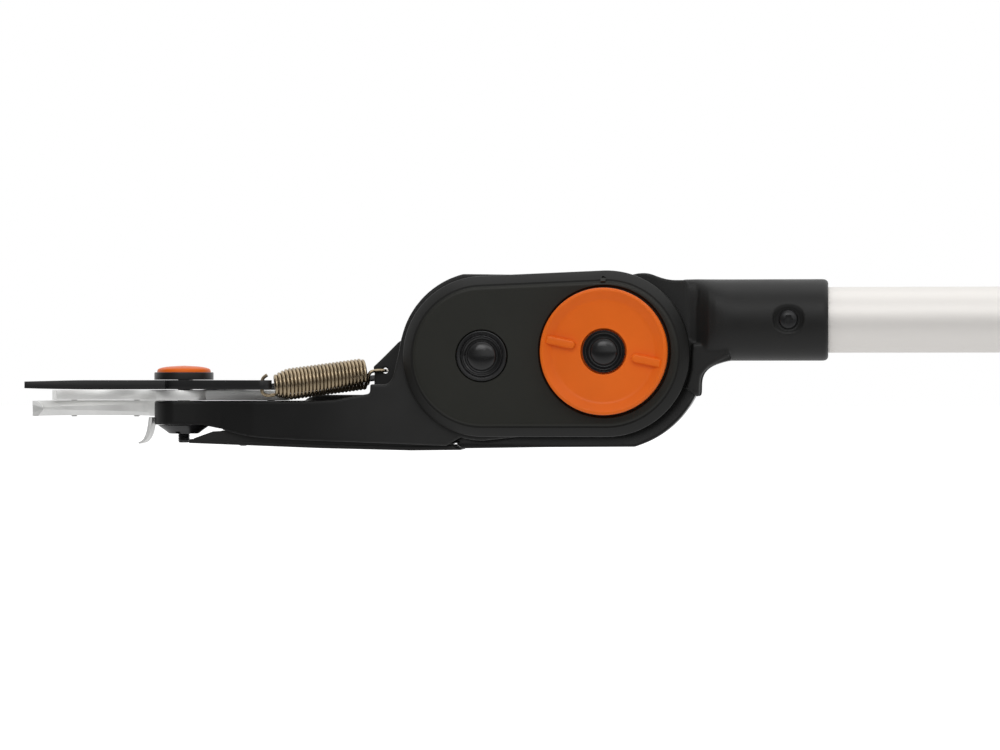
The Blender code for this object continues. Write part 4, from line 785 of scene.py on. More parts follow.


# A lighter copy of the nylon for the arm, with painted shade darkening its front end.
painted_shade_arm_nylon = moulded(
    "painted_shade_arm_nylon", tinted(NYLON, 1.3), roughness=0.46, grain=3200, depth=0.000012, spread=0.12, glint=0.3
)
darkened_by_painted_shade(painted_shade_arm_nylon, "X", share=0.2, start=PAINTED_SHADE_FROM - KNUCKLE.x, end=PAINTED_SHADE_TO - KNUCKLE.x)
nose = PIVOT_X - BOSS_R
arm_line = rounded([
    (nose, ARM_FLOOR, 0), (PIVOT_X + 0.0115, ARM_FLOOR, 0.004),
    (PIVOT_X + 0.0190, ARM_FLOOR - 0.0015, 0.003), (PIVOT_X + 0.0275, ARM_FLOOR - 0.0040, 0.003),
    (PIVOT_X + 0.0340, ARM_FLOOR - 0.0054, 0.003), (PIVOT_X + 0.0425, ARM_FLOOR - 0.0064, 0.004),
    (PIVOT_X + 0.0615, ARM_FLOOR - 0.0074, 0.008), (REEL.x - 0.0183, -0.0460, 0),
], 4, False)
arm_line += arc(REEL, 0.0413, 254, 270)
arm_line += arc((0, 0), YOKE_R - 0.0005, 270, 450)
arm_line += arc(REEL, 0.0413, 104, 168)
arm_line += rounded([
    (REEL.x - 0.0406, 0.0065, 0), (REEL.x - 0.0434, 0.0053, 0.0012), (REEL.x - 0.0508, -0.0022, 0.006),
    (REEL.x - 0.0563, -0.0073, 0.0006), (REEL.x - 0.0557, -0.0100, 0.0012),
    (REEL.x - 0.0560, -0.0205, 0.0012), (REEL.x - 0.0682, ARM_TOP + 0.0019, 0.004),
    (REEL.x - 0.0735, ARM_TOP + 0.0007, 0.002), (REEL.x - 0.0855, ARM_TOP + 0.0002, 0.006),
    (nose, ARM_TOP, 0),
], 6, False)
arm = solid("head_arm", slab(arm_line, -ARM_OUT, ARM_OUT, edge=0.0012))
plan = arc((PIVOT_X, 0), BOSS_R, 245, 115)
flank = rounded([
    (PIVOT_X + BOSS_R * cos(radians(100)), 0.0143, 0.002), (PIVOT_X + 0.0080, 0.0124, 0.003),
    (PIVOT_X + 0.0160, 0.0127, 0.006), (PIVOT_X + 0.0300, 0.0152, 0.010),
    (PIVOT_X + 0.0460, ARM_OUT + 0.0008, 0.010), (0.05, ARM_OUT + 0.001, 0),
], 6, False)
plan += flank + [(x, -y) for x, y in reversed(flank)]
shape(arm, "INTERSECT", slab(plan, -0.1, 0.1, UP))
rear = REEL.x - REEL_R - 0.0048
web_top = ARM_TOP - 0.0028
hook_seat = HOOK_BOTTOM - CLEARANCE
pivot = Vector((PIVOT_X, 0, 0))
channel_start = PIVOT_X + 0.0620
rib_start = REEL.x - 0.0575
channel = [
    (channel_start, -ARM_IN), (rear - 0.0030, -ARM_IN), (rear - 0.0030, -SPRING_RIB),
    (rib_start, -SPRING_RIB), (rib_start, SPRING_RIB), (rear + 0.002, SPRING_RIB),
    (rear + 0.002, ARM_IN), (channel_start, ARM_IN),
]
spring_room = rounded([
    (REEL.x - 0.0405, 0.0062, 0), (REEL.x - 0.0417, 0.0000, 0.003), (REEL.x - 0.0443, -0.0114, 0.003),
    (REEL.x - 0.0454, -0.0138, 0.002), (REEL.x - 0.0472, -0.0158, 0.0015),
    (REEL.x - 0.0700, -0.0160, 0), (REEL.x - 0.0700, 0.0150, 0), (REEL.x - 0.0440, 0.0150, 0),
], 4)
rail = [
    (channel_start - 0.0025, ARM_TOP - 0.002), (rib_start + 0.0006, ARM_TOP - 0.002),
    (rib_start + 0.0006, ARM_TOP + 0.0031), (channel_start + 0.0030, ARM_TOP + 0.0031),
    (channel_start - 0.0025, ARM_TOP + 0.0012),
]
rail_slots = []
for start, end, lift in ((-0.1474, -0.1398, 0), (-0.1327, -0.1251, 0.0006)):
    line = [(start, -0.0236 + lift), (end, -0.0236 + lift)]
    line += [(end, -0.0226 + lift), (start + 0.0012, -0.0228 + lift)]
    rail_slots.append(slab(line, -0.02, -0.01))
shape(
    arm,
    "DIFFERENCE",
    block((rear, -ARM_IN, -0.08), (0.06, ARM_IN, 0.08)),
    slab(channel, web_top, 0.03, UP),
    slab(spring_room, SPRING_RIB, 0.02),
    slab(spring_room, -0.02, -SPRING_RIB),
    block((PIVOT_X + 0.020, -ARM_IN, -0.08), (rear + 0.002, ARM_IN, web_top - 0.0030)),
    block((REEL.x - 0.0568, ARM_IN - 0.002, ARM_TOP + 0.007), (REEL.x - 0.009, 0.03, -0.004)),
    spun(rod(hook_seat, (0.0117, 0)), UP, pivot),
    block((PIVOT_X - 0.03, -0.0040, hook_seat), (PIVOT_X, 0.0197, ARM_TOP + 0.01)),
    spun(rod(-0.06, (M6_HOLE_R, 0)), UP, pivot, 40),
    drill(KNUCKLE_HOLE_R, (0, 0)),
    drill(M6_HOLE_R, REEL),
    drill(SPRING_HOLE_R, SPRING_HOLE),
)
shape(arm, "UNION", slab(rail, -ARM_OUT + 0.0001, -ARM_IN - 0.0001))
shape(arm, "DIFFERENCE", *rail_slots)
soften(arm, voxel=0.0006, passes=6, keep=0.5)
end_piece(arm, "head", painted_shade_arm_nylon, "arm", angle=60)


# The covers: two dished nylon shells round both axles, the near one with a round well for the
# dial. Each has a flat face and a broad sloping rim; a small raised padlock marks the locked stop.
COVER_IN = 0.0163
COVER_OUT = 0.0238
COVER_R = 0.0398
DIAL_R = 0.0307
CAP_SINK = 0.0016
DIAL_SINK = 0.0012
COVER_WALL_HIGH = 0.0020
COVER_RIM = [(0, 0), (0.00015, 0.00055), (0.00045, 0.00095), (0.0044, 0.00455), (0.0052, 0.0046)]
COVER_RIM += [(0.0058, 0.0052), (0.0064, 0.00545), (0.0072, COVER_OUT - COVER_IN - COVER_WALL_HIGH)]
CAP_ROOM = 0.0126
COVER_SCREWS = [(-0.030, 0.030), (-0.030, -0.033), (-0.0835, 0.0195), (-0.0835, -0.0235)]
NUT_ROOM = 0.0096
NUT_SINK = 0.0040
SCREW_ROOM = 0.0032
SCREW_SINK = 0.0034
COVER_SCREW_HOLE_R = 0.0016
COVER_NYLON = (0.0170, 0.0173, 0.0135)

cover_nylon = moulded(
    "satin_cover_nylon", COVER_NYLON, roughness=0.44, patch=22, grain=3600, depth=0.000009, glint=0.3
)
# Painted shade: the sloping rims and the well floors, which lie deeper than the flat face, are painted
# darker.
darkened_by_painted_shade(cover_nylon, "Y", share=0.22, start=COVER_OUT - 0.0011, end=COVER_OUT - 0.0002)


def oval():
    """The covers' outline, a little larger round the knuckle."""
    front = (REEL.x, REEL.y - 0.0002)
    back = (0.0006, -0.0010)
    tilt = degrees(atan2(back[1] - front[1], back[0] - front[0]))
    knuckle_end = arc(back, COVER_R + 0.0006, tilt - 90, tilt + 90)
    return knuckle_end + arc(front, COVER_R - 0.0006, tilt + 90, tilt + 270)


def shell(side):
    """A cover's outer skin, raised ring by ring: a low wall, a rounded edge, a slope, a face."""
    bm = bmesh.new()
    face = bm.faces.new([bm.verts.new((x, y, 0)) for x, y in oval()])
    grown = bmesh.ops.extrude_face_region(bm, geom=[face])["geom"]
    top = [part for part in grown if isinstance(part, bmesh.types.BMFace)]
    rim = [part for part in grown if isinstance(part, bmesh.types.BMVert)]
    bmesh.ops.translate(bm, verts=rim, vec=(0, 0, COVER_WALL_HIGH))
    bmesh.ops.recalc_face_normals(bm, faces=bm.faces)
    for (near, low), (far, high) in zip(COVER_RIM, COVER_RIM[1:]):
        bmesh.ops.inset_region(
            bm, faces=top, thickness=far - near, depth=high - low, use_even_offset=True
        )
    bm.transform(NEAR)
    if side > 0:
        bmesh.ops.scale(bm, verts=bm.verts, vec=(1, -1, 1))
        bmesh.ops.recalc_face_normals(bm, faces=bm.faces)
    bm.transform(Matrix.Translation((0, side * COVER_IN, 0)))
    return bm


def well(radius, floor, flare, turn, at, steps=128):
    """A round well cut from outside, its floor's corner and its mouth eased."""
    line = rounded([
        (0, floor, 0), (radius, floor, 0.0004), (radius, COVER_OUT - flare, 0.0003),
        (radius + flare, COVER_OUT + 0.0001, 0), (radius + flare, 0.04, 0), (0, 0.04, 0),
    ], 4)
    return spun(line, turn, Vector((at[0], 0, at[1])), steps)


for side, turn, label in SIDES:
    cover = solid(f"{label}_side_cover", shell(side))
    wells = [
        well(CAP_ROOM, COVER_OUT - CAP_SINK, 0.0004, turn, REEL),
        drill(KNUCKLE_HOLE_R, (0, 0)),
        drill(M6_HOLE_R, REEL),
    ]
    if side < 0:
        wells.append(well(DIAL_R + 0.0010, COVER_OUT - DIAL_SINK, 0.0007, turn, (0, 0), 192))
    else:
        wells.append(well(NUT_ROOM, COVER_OUT - NUT_SINK, 0.0005, turn, (0, 0)))
        screw_floor = COVER_OUT - SCREW_SINK
        wells += [well(SCREW_ROOM, screw_floor, 0.0003, turn, at, 48) for at in COVER_SCREWS]
        wells += [drill(COVER_SCREW_HOLE_R, at, 0.03, 24) for at in COVER_SCREWS]
    shape(cover, "DIFFERENCE", *wells)
    if side < 0:
        tilted = Matrix.Rotation(-pi / 4, 4, "X") @ NEAR
        at = Vector((-0.0006, -COVER_IN - 0.0066, 0.0352))
        hoop = arc((0, 0.0007), 0.00125, -25, 180, 12) + arc((0, 0.0007), 0.00078, 180, -25, 12)
        hoop = [(-x, y) for x, y in hoop]
        corners = ((-0.0012, -0.0021), (0.0012, -0.0021), (0.0012, 0.0002), (-0.0012, 0.0002))
        lock = rounded([(x, y, 0.0003) for x, y in corners], 3)
        shape(cover, "UNION", *(slab(line, -0.0004, 0.0004, tilted, at) for line in (hoop, lock)))
    end_piece(cover, "head", cover_nylon, f"{label}_cover", angle=28)


# The far cover's four screws: black button heads with a six-lobed drive, each sunk in a round well.
# They go through the cover into the arm.
for i, (x, z) in enumerate(COVER_SCREWS):
    at = Vector((x, COVER_OUT - SCREW_SINK + CLEARANCE, z))
    name, node = f"cover_button_screw_{i + 1}", f"cover_screw_{i + 1}"
    button_screw(
        name, "head", node, head_r=0.0028, head=0.0019, shank_r=0.0015, shank=0.0068, drive_r=0.0011,
        turn=FAR, at=at,
    )


# The two axles and their caps: ground steel pins, capped with turned black buttons that have a
# domed middle in a beaded ring. The knuckle's far end is threaded, with a hexagonal nut.
DIAL_DEPTH = 0.0092
KNUCKLE_AXLE_R = 0.005
NUT_R = 0.0088
NUT_HIGH = 0.0050
STEEL = (0.56, 0.56, 0.55)

steel = moulded(
    "ground_steel", STEEL, roughness=0.27, metallic=1.0, spread=0.06, patch=60, grain=1500,
    depth=0.000006, stretch=(0.15, 1, 1),
)
black_cap = moulded(
    "polished_black_cap", (0.012, 0.012, 0.0125), roughness=0.2, spread=0.1, patch=80, grain=3000,
    depth=0.000002,
)


def ringed_cap(radius, dome, bead):
    """A cap's profile: a dome standing in a dished ring, a fine bead, and a flat rim."""
    line = [(dome * sin(radians(a)), 0.0009 + 0.0025 * cos(radians(a))) for a in range(0, 91, 9)]
    line += rounded([
        (dome + 0.0001, 0.0005, 0), (dome + 0.0007, 0.0005, 0.0002), (dome + 0.0011, 0.0009, 0.0002),
        (bead - 0.0004, 0.0014, 0.0003), (bead - 0.0002, 0.0019, 0.00015),
        (bead + 0.0002, 0.0019, 0.00015), (bead + 0.0005, 0.0009, 0.0002),
        (bead + 0.0008, 0.0009, 0.0001), (bead + 0.0010, 0.0016, 0.00015),
        (radius - 0.0003, 0.0017, 0.0002), (radius, 0.0013, 0.0002), (radius, 0, 0), (0, 0, 0),
    ], 3, False)
    return line


near_end = COVER_OUT + DIAL_DEPTH - 0.0068
button_line = ringed_cap(radius=0.0103, dome=0.0067, bead=0.0088)
cap = spun(button_line, NEAR, Vector((0, -near_end - CLEARANCE, 0)), 96)
end_piece(solid("knuckle_button", cap), "head", black_cap, "knuckle_cap", angle=40)
cap_seat = COVER_OUT - CAP_SINK + CLEARANCE
button_line = ringed_cap(radius=0.0123, dome=0.0072, bead=0.0096)
for side, turn, label in SIDES:
    cap = spun(button_line, turn, reel_at + Vector((0, side * cap_seat, 0)), 96)
    button = solid(f"reel_button_{label}", cap)
    end_piece(button, "head", black_cap, f"reel_cap_{label}", angle=40)

nut_floor = COVER_OUT - NUT_SINK
axle_end = nut_floor + 0.0034
thread = []
for i in range(5):
    foot = axle_end - 0.0006 - 0.0008 * i
    thread += [(KNUCKLE_AXLE_R, foot), (KNUCKLE_AXLE_R - 0.00045, foot - 0.0004)]
axle_line = [(0, -near_end), (KNUCKLE_AXLE_R - 0.0004, -near_end), (KNUCKLE_AXLE_R, -near_end + 0.0004)]
axle_line += thread[::-1] + [(KNUCKLE_AXLE_R - 0.0005, axle_end), (0, axle_end)]
axle = solid("knuckle_bolt", spun(axle_line, FAR, HERE, 64))
end_piece(axle, "head", steel, "knuckle_axle")
hexagon = [(NUT_R * cos(radians(a)), NUT_R * sin(radians(a))) for a in range(0, 360, 60)]
nut_at = Vector((0, nut_floor + CLEARANCE, 0))
nut = solid("knuckle_locknut", slab(hexagon, 0, NUT_HIGH, FAR, nut_at))
bevelled = [(0, -0.001), (NUT_R + 0.0004, -0.001), (NUT_R + 0.0004, NUT_HIGH - 0.0012)]
bevelled += [(NUT_R - 0.0013, NUT_HIGH), (0, NUT_HIGH)]
shape(nut, "INTERSECT", spun(bevelled, FAR, nut_at, 96))
shape(nut, "DIFFERENCE", drill(KNUCKLE_AXLE_R + 0.0001, (0, 0)))
end_piece(nut, "head", steel, "knuckle_nut")
coat("reel_axle", steel)


# The lock dial: an orange moulding that turns to lock the head's tilt. Its rim slopes in to a flat
# face with two finger ridges, round a well for the knuckle's cap.
DIAL_HOLE_R = 0.0111
RIDGE_ANGLE = -12
RIDGE_HALF = 0.0021
ORANGE = (0.86, 0.148, 0.0040)

orange = moulded(
    "orange_moulding", ORANGE, roughness=0.36, spread=0.05, patch=26, depth=0.000006, glint=0.28
)
dial_foot = COVER_OUT - DIAL_SINK + CLEARANCE
well_floor = near_end - dial_foot - 0.0004
dial_face = DIAL_DEPTH - 0.0030
dial_line = rounded([
    (DIAL_R, 0, 0.0003), (DIAL_R, DIAL_DEPTH - 0.0008, 0.0009), (DIAL_R - 0.0014, DIAL_DEPTH, 0.0006),
    (DIAL_R - 0.0058, dial_face, 0.0010), (DIAL_HOLE_R, dial_face, 0.0004),
    (DIAL_HOLE_R, well_floor, 0.0004), (KNUCKLE_AXLE_R + 0.0001, well_floor, 0),
    (KNUCKLE_AXLE_R + 0.0001, 0, 0),
], 5)
dial_at = Vector((0, -dial_foot, 0))
dial = solid("orange_lock_dial", spun(dial_line, NEAR, dial_at, 192))
ridge_in = DIAL_HOLE_R + 0.0028 + RIDGE_HALF
ridge_out = DIAL_R - 0.0024
ridges = []
for flip in (0, 180):
    turn = NEAR @ Matrix.Rotation(radians(RIDGE_ANGLE + flip), 4, "Z")
    line = arc((ridge_in, 0), RIDGE_HALF, 90, 270, 12)
    line += [(ridge_out, -RIDGE_HALF), (ridge_out, RIDGE_HALF)]
    ridges.append(slab(line, dial_face - 0.0020, DIAL_DEPTH - 0.0002, turn, dial_at, 0.0011, 5))
shape(dial, "UNION", *ridges)
end_piece(dial, "dial", orange, "lock_dial", angle=34)


# The moving blade: hardened plate with a black low-friction coat, its cutting edge ground bright on
# one side. One ear takes the strap's pin and the longer lever takes the return spring.
BLADE_TOP = -0.0139
BLADE_THICK = 0.0045
BLADE_LENGTH = 0.0822
BLADE_OPEN = radians(33)
MOUTH = (-0.0440, -0.0030)
MOUTH_R = 0.025
EDGE_WIDE = 0.0100
LEVER_HOLE = Vector((0.0429, -0.0190))
LEVER_HOLE_R = 0.00155
PIN_HOLE_R = 0.0021
COATED = (0.017, 0.017, 0.0175)

coated = moulded(
    "black_blade_coat", COATED, roughness=0.34, metallic=0.25, spread=0.12, patch=40, grain=2400,
    depth=0.000008,
)
ground = moulded(
    "ground_edge", (0.60, 0.60, 0.60), roughness=0.22, metallic=1.0, spread=0.05, patch=200, grain=5000,
    depth=0.000008, stretch=(1, 0.1, 1),
)
hinge = Matrix.Translation((PIVOT_X, 0, 0))
opened = hinge @ Matrix.Rotation(BLADE_OPEN, 4, "Z")
pin_shut = Matrix.Rotation(-BLADE_OPEN, 2) @ DRIVE_PIN
lever_shut = Matrix.Rotation(-BLADE_OPEN, 2) @ LEVER_HOLE
pin_turn = degrees(atan2(pin_shut.y, pin_shut.x))
lever_turn = degrees(atan2(lever_shut.y, lever_shut.x))


def through_three(first, middle, last, count):
    """Points from first to last on the circle through all three."""
    (ax, ay), (bx, by), (cx, cy) = first, middle, last
    d = 2 * (ax * (by - cy) + bx * (cy - ay) + cx * (ay - by))
    a2, b2, c2 = ax * ax + ay * ay, bx * bx + by * by, cx * cx + cy * cy
    x = (a2 * (by - cy) + b2 * (cy - ay) + c2 * (ay - by)) / d
    y = (a2 * (cx - bx) + b2 * (ax - cx) + c2 * (bx - ax)) / d
    start = degrees(atan2(ay - y, ax - x))
    end = degrees(atan2(cy - y, cx - x))
    turn = degrees(atan2(by - y, bx - x))
    if (turn - start) % 360 < (end - start) % 360:
        end = start + (end - start) % 360
    else:
        end = start - (start - end) % 360
    return arc((x, y), hypot(ax - x, ay - y), start, end, abs(end - start) / count)


def stacked(outline, heights, turn, move):
    """An outline raised through several heights, its points then moved by a rule of their level."""
    bm = bmesh.new()
    face = bm.faces.new([bm.verts.new((x, y, heights[0])) for x, y in outline])
    levels = [list(face.verts)]
    for low, high in zip(heights, heights[1:]):
        under = face
        grown = bmesh.ops.extrude_face_region(bm, geom=[under])["geom"]
        face = next(part for part in grown if isinstance(part, bmesh.types.BMFace))
        if low > heights[0]:
            bmesh.ops.delete(bm, geom=[under], context="FACES_ONLY")
        levels.append(list(face.verts))
        bmesh.ops.translate(bm, verts=face.verts, vec=(0, 0, high - low))
    for level, verts in enumerate(levels):
        for vert in verts:
            vert.co = move(vert.co.copy(), level)
    bmesh.ops.recalc_face_normals(bm, faces=bm.faces)
    bm.transform(turn)
    return bm


tip = (-BLADE_LENGTH, 0.0015)
heel = (-0.0112, 0.0100)
belly = (MOUTH[0], MOUTH[1] + MOUTH_R + 0.0015)
edge_line = through_three(tip, belly, heel, 40)
back = arc((0, 0), BOSS_R, 132, pin_turn + 66, 4)
back += arc(pin_shut, 0.0050, pin_turn + 72, pin_turn - 82, 9)
back += [(BOSS_R * cos(radians(a)), BOSS_R * sin(radians(a))) for a in (12, 8, 3)]
back += arc(lever_shut, 0.0048, lever_turn + 80, lever_turn - 80, 9)
back += arc((0, 0), BOSS_R, lever_turn - 74, -146, 4)
back += through_three((-0.0150, -0.0128), (-0.0460, -0.0115), tip, 24)[:-1]
ground_in = {}
for i, (x, y) in enumerate(edge_line):
    inward = Vector((belly[0] - x, tip[1] - 0.012 - y)).normalized()
    width = EDGE_WIDE * sin(pi * i / (len(edge_line) - 1)) ** 0.6
    ground_in[(round(x, 7), round(y, 7))] = inward * width


def grind(point, level):
    """Slopes the top back from the cutting edge, and thins the blade towards its tip."""
    shift = ground_in.get((round(point.x, 7), round(point.y, 7)))
    thin = max(0.0, (-point.x - 0.052) / 0.032) ** 1.5
    middle = BLADE_TOP - BLADE_THICK / 2
    z = middle + (point.z - middle) * (1 - 0.30 * thin)
    if level and shift:
        return Vector((point.x + shift.x, point.y + shift.y, z))
    return Vector((point.x, point.y, z))


def ease_edges(piece, width, angle):
    """Eases a piece's sharp edges, as deburring leaves them."""
    bevel = piece.modifiers.new("eased_edges", "BEVEL")
    bevel.width = width
    bevel.segments = 2
    bevel.limit_method = "ANGLE"
    bevel.angle_limit = radians(angle)
    settle(piece)


levels = [BLADE_TOP - BLADE_THICK, BLADE_TOP]
blade = solid("hooked_moving_blade", stacked(edge_line + back, levels, opened, grind))
pin_at = opened @ Vector((*pin_shut, 0))
lever_at = opened @ Vector((*lever_shut, 0))
pivot_at = opened @ Vector((0, 0, 0))
shape(
    blade,
    "DIFFERENCE",
    spun(rod(-0.03, (M6_HOLE_R, 0)), UP, pivot_at, 32),
    spun(rod(-0.03, (LEVER_HOLE_R, 0)), UP, lever_at, 32),
    spun(rod(-0.03, (PIN_HOLE_R, 0)), UP, pin_at, 32),
)
ease_edges(blade, width=0.00025, angle=60)
end_piece(blade, "blade", [coated, ground], "moving_blade", angle=30)
for face in blade.data.polygons:
    if 0.15 < face.normal.z < 0.97 and face.area > 0.0000004:
        face.material_index = 1


# What turns with the blade: a black ring and an orange cap over the pivot, and the headed pin that
# the strap pulls on.
PIVOT_HEAD_R = 0.0056
RING_HIGH = 0.0037
PIVOT_CAP_R = 0.0134
DRIVE_PIN_HEAD_R = 0.0034

ring_foot = BLADE_TOP + 0.0002
ring_line = rounded([
    (BOSS_R, 0, 0.0001), (BOSS_R, RING_HIGH, 0.0005), (PIVOT_CAP_R + 0.0003, RING_HIGH, 0.0003),
    (PIVOT_CAP_R + 0.0003, RING_HIGH - 0.0018, 0), (PIVOT_HEAD_R + 0.0004, RING_HIGH - 0.0018, 0),
    (PIVOT_HEAD_R + 0.0004, 0, 0),
], 5)
pivot_ring = solid("blade_pivot_ring", spun(ring_line, UP, pivot_at + Vector((0, 0, ring_foot)), 128))
end_piece(pivot_ring, "blade", coated, "pivot_ring", angle=40)
cap_line = rounded([
    (0, 0.0047, 0), (0.0094, 0.0042, 0.004), (PIVOT_CAP_R - 0.0002, 0.0030, 0.0011),
    (PIVOT_CAP_R, 0, 0.0002), (0, 0, 0),
], 6)
cap = spun(cap_line, UP, pivot_at + Vector((0, 0, ring_foot + RING_HIGH - 0.0014)), 128)
end_piece(solid("orange_pivot_cap", cap), "blade", orange, "pivot_cap", angle=40)
pin_long = BLADE_THICK + BLADE_STRAP_WIDTH + 0.0018
pin_line = [
    (0, 0.0012), (0.0024, 0.0012), (0.0031, 0.0009), (DRIVE_PIN_HEAD_R, 0.0003), (DRIVE_PIN_HEAD_R, 0),
]
pin_line += [(DRIVE_PIN_R, 0), (DRIVE_PIN_R, -pin_long + 0.0004)]
pin_line += [(DRIVE_PIN_R - 0.0004, -pin_long), (0, -pin_long)]
drive = spun(pin_line, UP, pin_at + Vector((0, 0, BLADE_TOP + CLEARANCE)), 48)
end_piece(solid("headed_drive_pin", drive), "blade", steel, "drive_pin")


# The pivot bolt and its flanged nut: blackened steel, through blade, counter blade, hook and arm,
# with a few threads left standing below the nut.
NUT_TOP = ARM_FLOOR - CLEARANCE
NUT_LOW = NUT_TOP - 0.0042
BOLT_END = ARM_FLOOR - 0.0090

bolt_line = [(0, BLADE_TOP + 0.0021), (0.0050, BLADE_TOP + 0.0021), (PIVOT_HEAD_R, BLADE_TOP + 0.0015)]
bolt_line += [(PIVOT_HEAD_R, BLADE_TOP + CLEARANCE), (0.003, BLADE_TOP + CLEARANCE)]
pitch = 0.0008
for i in range(9):
    foot = ARM_FLOOR - 0.0014 - pitch * i
    bolt_line += [(0.003, foot), (0.00258, foot - pitch / 2)]
bolt_line += [(0.0027, BOLT_END + 0.0003), (0.0022, BOLT_END), (0, BOLT_END)]
bolt = solid("pivot_through_bolt", spun(bolt_line, UP, pivot_at, 64))
end_piece(bolt, "head", black_steel, "pivot_bolt")
nut_line = rounded([
    (M6_HOLE_R, NUT_TOP, 0), (BOSS_R - 0.0017, NUT_TOP, 0.0004), (0.0090, NUT_LOW + 0.0014, 0.0012),
    (0.0072, NUT_LOW, 0.0004), (M6_HOLE_R, NUT_LOW, 0),
], 4)
nut = solid("flanged_pivot_nut", spun(nut_line, UP, pivot_at, 96))
slot = rounded([
    (0.0030, -0.0012, 0.0003), (0.02, -0.0012, 0), (0.02, 0.0012, 0), (0.0030, 0.0012, 0.0003),
], 2)
slots = []
for i in range(6):
    turn = Matrix.Rotation(radians(60 * i + 20), 4, "Z")
    slots.append(slab(slot, NUT_LOW - 0.01, NUT_LOW + 0.0011, turn, pivot_at))
shape(nut, "DIFFERENCE", *slots)
end_piece(nut, "head", black_steel, "pivot_nut")


# The counter blade and the branch hook: zinc-plated steel plates riveted together, hooked round the
# mouth. The counter blade's tail lies on the arm under a countersunk screw.
COUNTER_THICK = 0.0051
HOOK_THICK = 0.0076
HOOK_TOP = COUNTER_TOP - COUNTER_THICK - CLEARANCE
ZINC = (0.88, 0.88, 0.865)
TAIL_SCREW_X = 0.0440
RIVET_TURNS = (60, 125)
RIVET_HOLE_R = 0.0016

zinc = moulded(
    "zinc_plated_steel", ZINC, roughness=0.34, metallic=0.45, spread=0.05, patch=45, grain=1200,
    depth=0.000012, stretch=(1, 1, 0.25),
)


def jaw_line(tip_angle, inner_r, outer_r, outer_centre, boss, tail=()):
    """A hooked plate round the mouth: inner edge, tip, back, pivot boss and tail."""
    line = arc(MOUTH, inner_r, 22, tip_angle, 3) + arc(outer_centre, outer_r, tip_angle - 3, 40, 3)
    if not tail:
        return line + arc((0, 0), boss, 110, -165, 5)
    lean = degrees(atan2(tail[0][1], sqrt(boss**2 - tail[0][1] ** 2)))
    return line + arc((0, 0), boss, 110, lean, 4) + tail + arc((0, 0), boss, -lean, -165, 4)


def inner_bevel(reach, land):
    """Bevels a jaw's inner edge above and below, wide at the tip and narrow at the pivot."""

    def move(point, level):
        away = Vector((point.x - MOUTH[0], point.y - MOUTH[1]))
        if away.length > MOUTH_R + 0.0014 or point.x > -0.018:
            return point
        turn = degrees(atan2(away.y, away.x)) % 360
        share = max(0.0, min(1.0, (turn - 30) / 165))
        if level in (0, 3):
            shift = away.normalized() * reach * (0.35 + 0.65 * share)
            return Vector((point.x + shift.x, point.y + shift.y, point.z))
        middle = (land[0] + land[1]) / 2
        return Vector((point.x, point.y, middle + (point.z - middle) * (1 - 0.8 * share)))

    return move


counter_low = COUNTER_TOP - COUNTER_THICK
tail = rounded([
    (0.0490, 0.0075, 0), (0.0530, 0.0045, 0.002), (0.0530, -0.0045, 0.002), (0.0470, -0.0062, 0),
], 4, False)
line = jaw_line(
    tip_angle=156, inner_r=MOUTH_R, outer_r=0.0310, outer_centre=(-0.0425, -0.0020), boss=BOSS_R,
    tail=tail,
)
counter = solid("steel_counter_blade", slab(line, counter_low, COUNTER_TOP, UP, pivot_at, 0.0003, 2))
hook_line = jaw_line(
    tip_angle=202, inner_r=MOUTH_R + 0.0012, outer_r=0.0345, outer_centre=(-0.0415, 0.0),
    boss=BOSS_R - 0.0034,
)
hook_low = HOOK_TOP - HOOK_THICK
levels = [hook_low, hook_low + 0.0018, HOOK_TOP - 0.0018, HOOK_TOP]
hook_body = stacked(hook_line, levels, hinge, inner_bevel(reach=0.0026, land=levels[1:3]))
hook = solid("branch_catching_hook", hook_body)
ring_r = MOUTH_R + 0.0048
rivet_places = []
for a in RIVET_TURNS:
    place = Vector((MOUTH[0] + ring_r * cos(radians(a)), MOUTH[1] + ring_r * sin(radians(a)), 0))
    rivet_places.append(pivot_at + place)
tail_at = pivot_at + Vector((TAIL_SCREW_X, 0, 0))
sink_top = COUNTER_TOP + 0.0004
sink = [(0, -0.03), (0.0019, -0.03), (0.0019, COUNTER_TOP - 0.0020), (0.0042, sink_top), (0, sink_top)]
for jaw, name in ((counter, "counter_blade"), (hook, "branch_hook")):
    ways = [spun(rod(-0.06, (M6_HOLE_R, 0)), UP, pivot_at, 40)]
    ways += [spun(rod(-0.06, (RIVET_HOLE_R, 0)), UP, at, 24) for at in rivet_places]
    if name == "counter_blade":
        ways.append(spun(sink, UP, tail_at, 48))
    shape(jaw, "DIFFERENCE", *ways)
    end_piece(jaw, "head", zinc, name, angle=24)
for i, at in enumerate(rivet_places):
    top, low = COUNTER_TOP - 0.0004, hook_low - 0.0006
    line = [(0, top), (0.0013, top), (0.0015, top - 0.0002)]
    line += [(0.0015, low + 0.0002), (0.0013, low), (0, low)]
    rivet = solid(f"jaw_rivet_pin_{i + 1}", spun(line, UP, at, 32))
    end_piece(rivet, "head", steel, f"jaw_rivet_{i + 1}")
head = COUNTER_TOP - 0.0003
line = [(0, head), (0.0032, head), (0.0018, head - 0.0016), (0.0018, head - 0.0105), (0, head - 0.0105)]
screw = solid("countersunk_tail_screw", spun(line, UP, tail_at, 48))
shape(screw, "DIFFERENCE", lobes(0.0013, 0.004, head - 0.0011, UP, tail_at))
end_piece(screw, "head", black_steel, "tail_screw")


# The claw: a small bent strip of zinc-plated steel that stands below the arm's nose. With it the
# user drags cut branches free.
CLAW_HALF_WIDE = 0.0050
CLAW_HALF_THICK = 0.0009

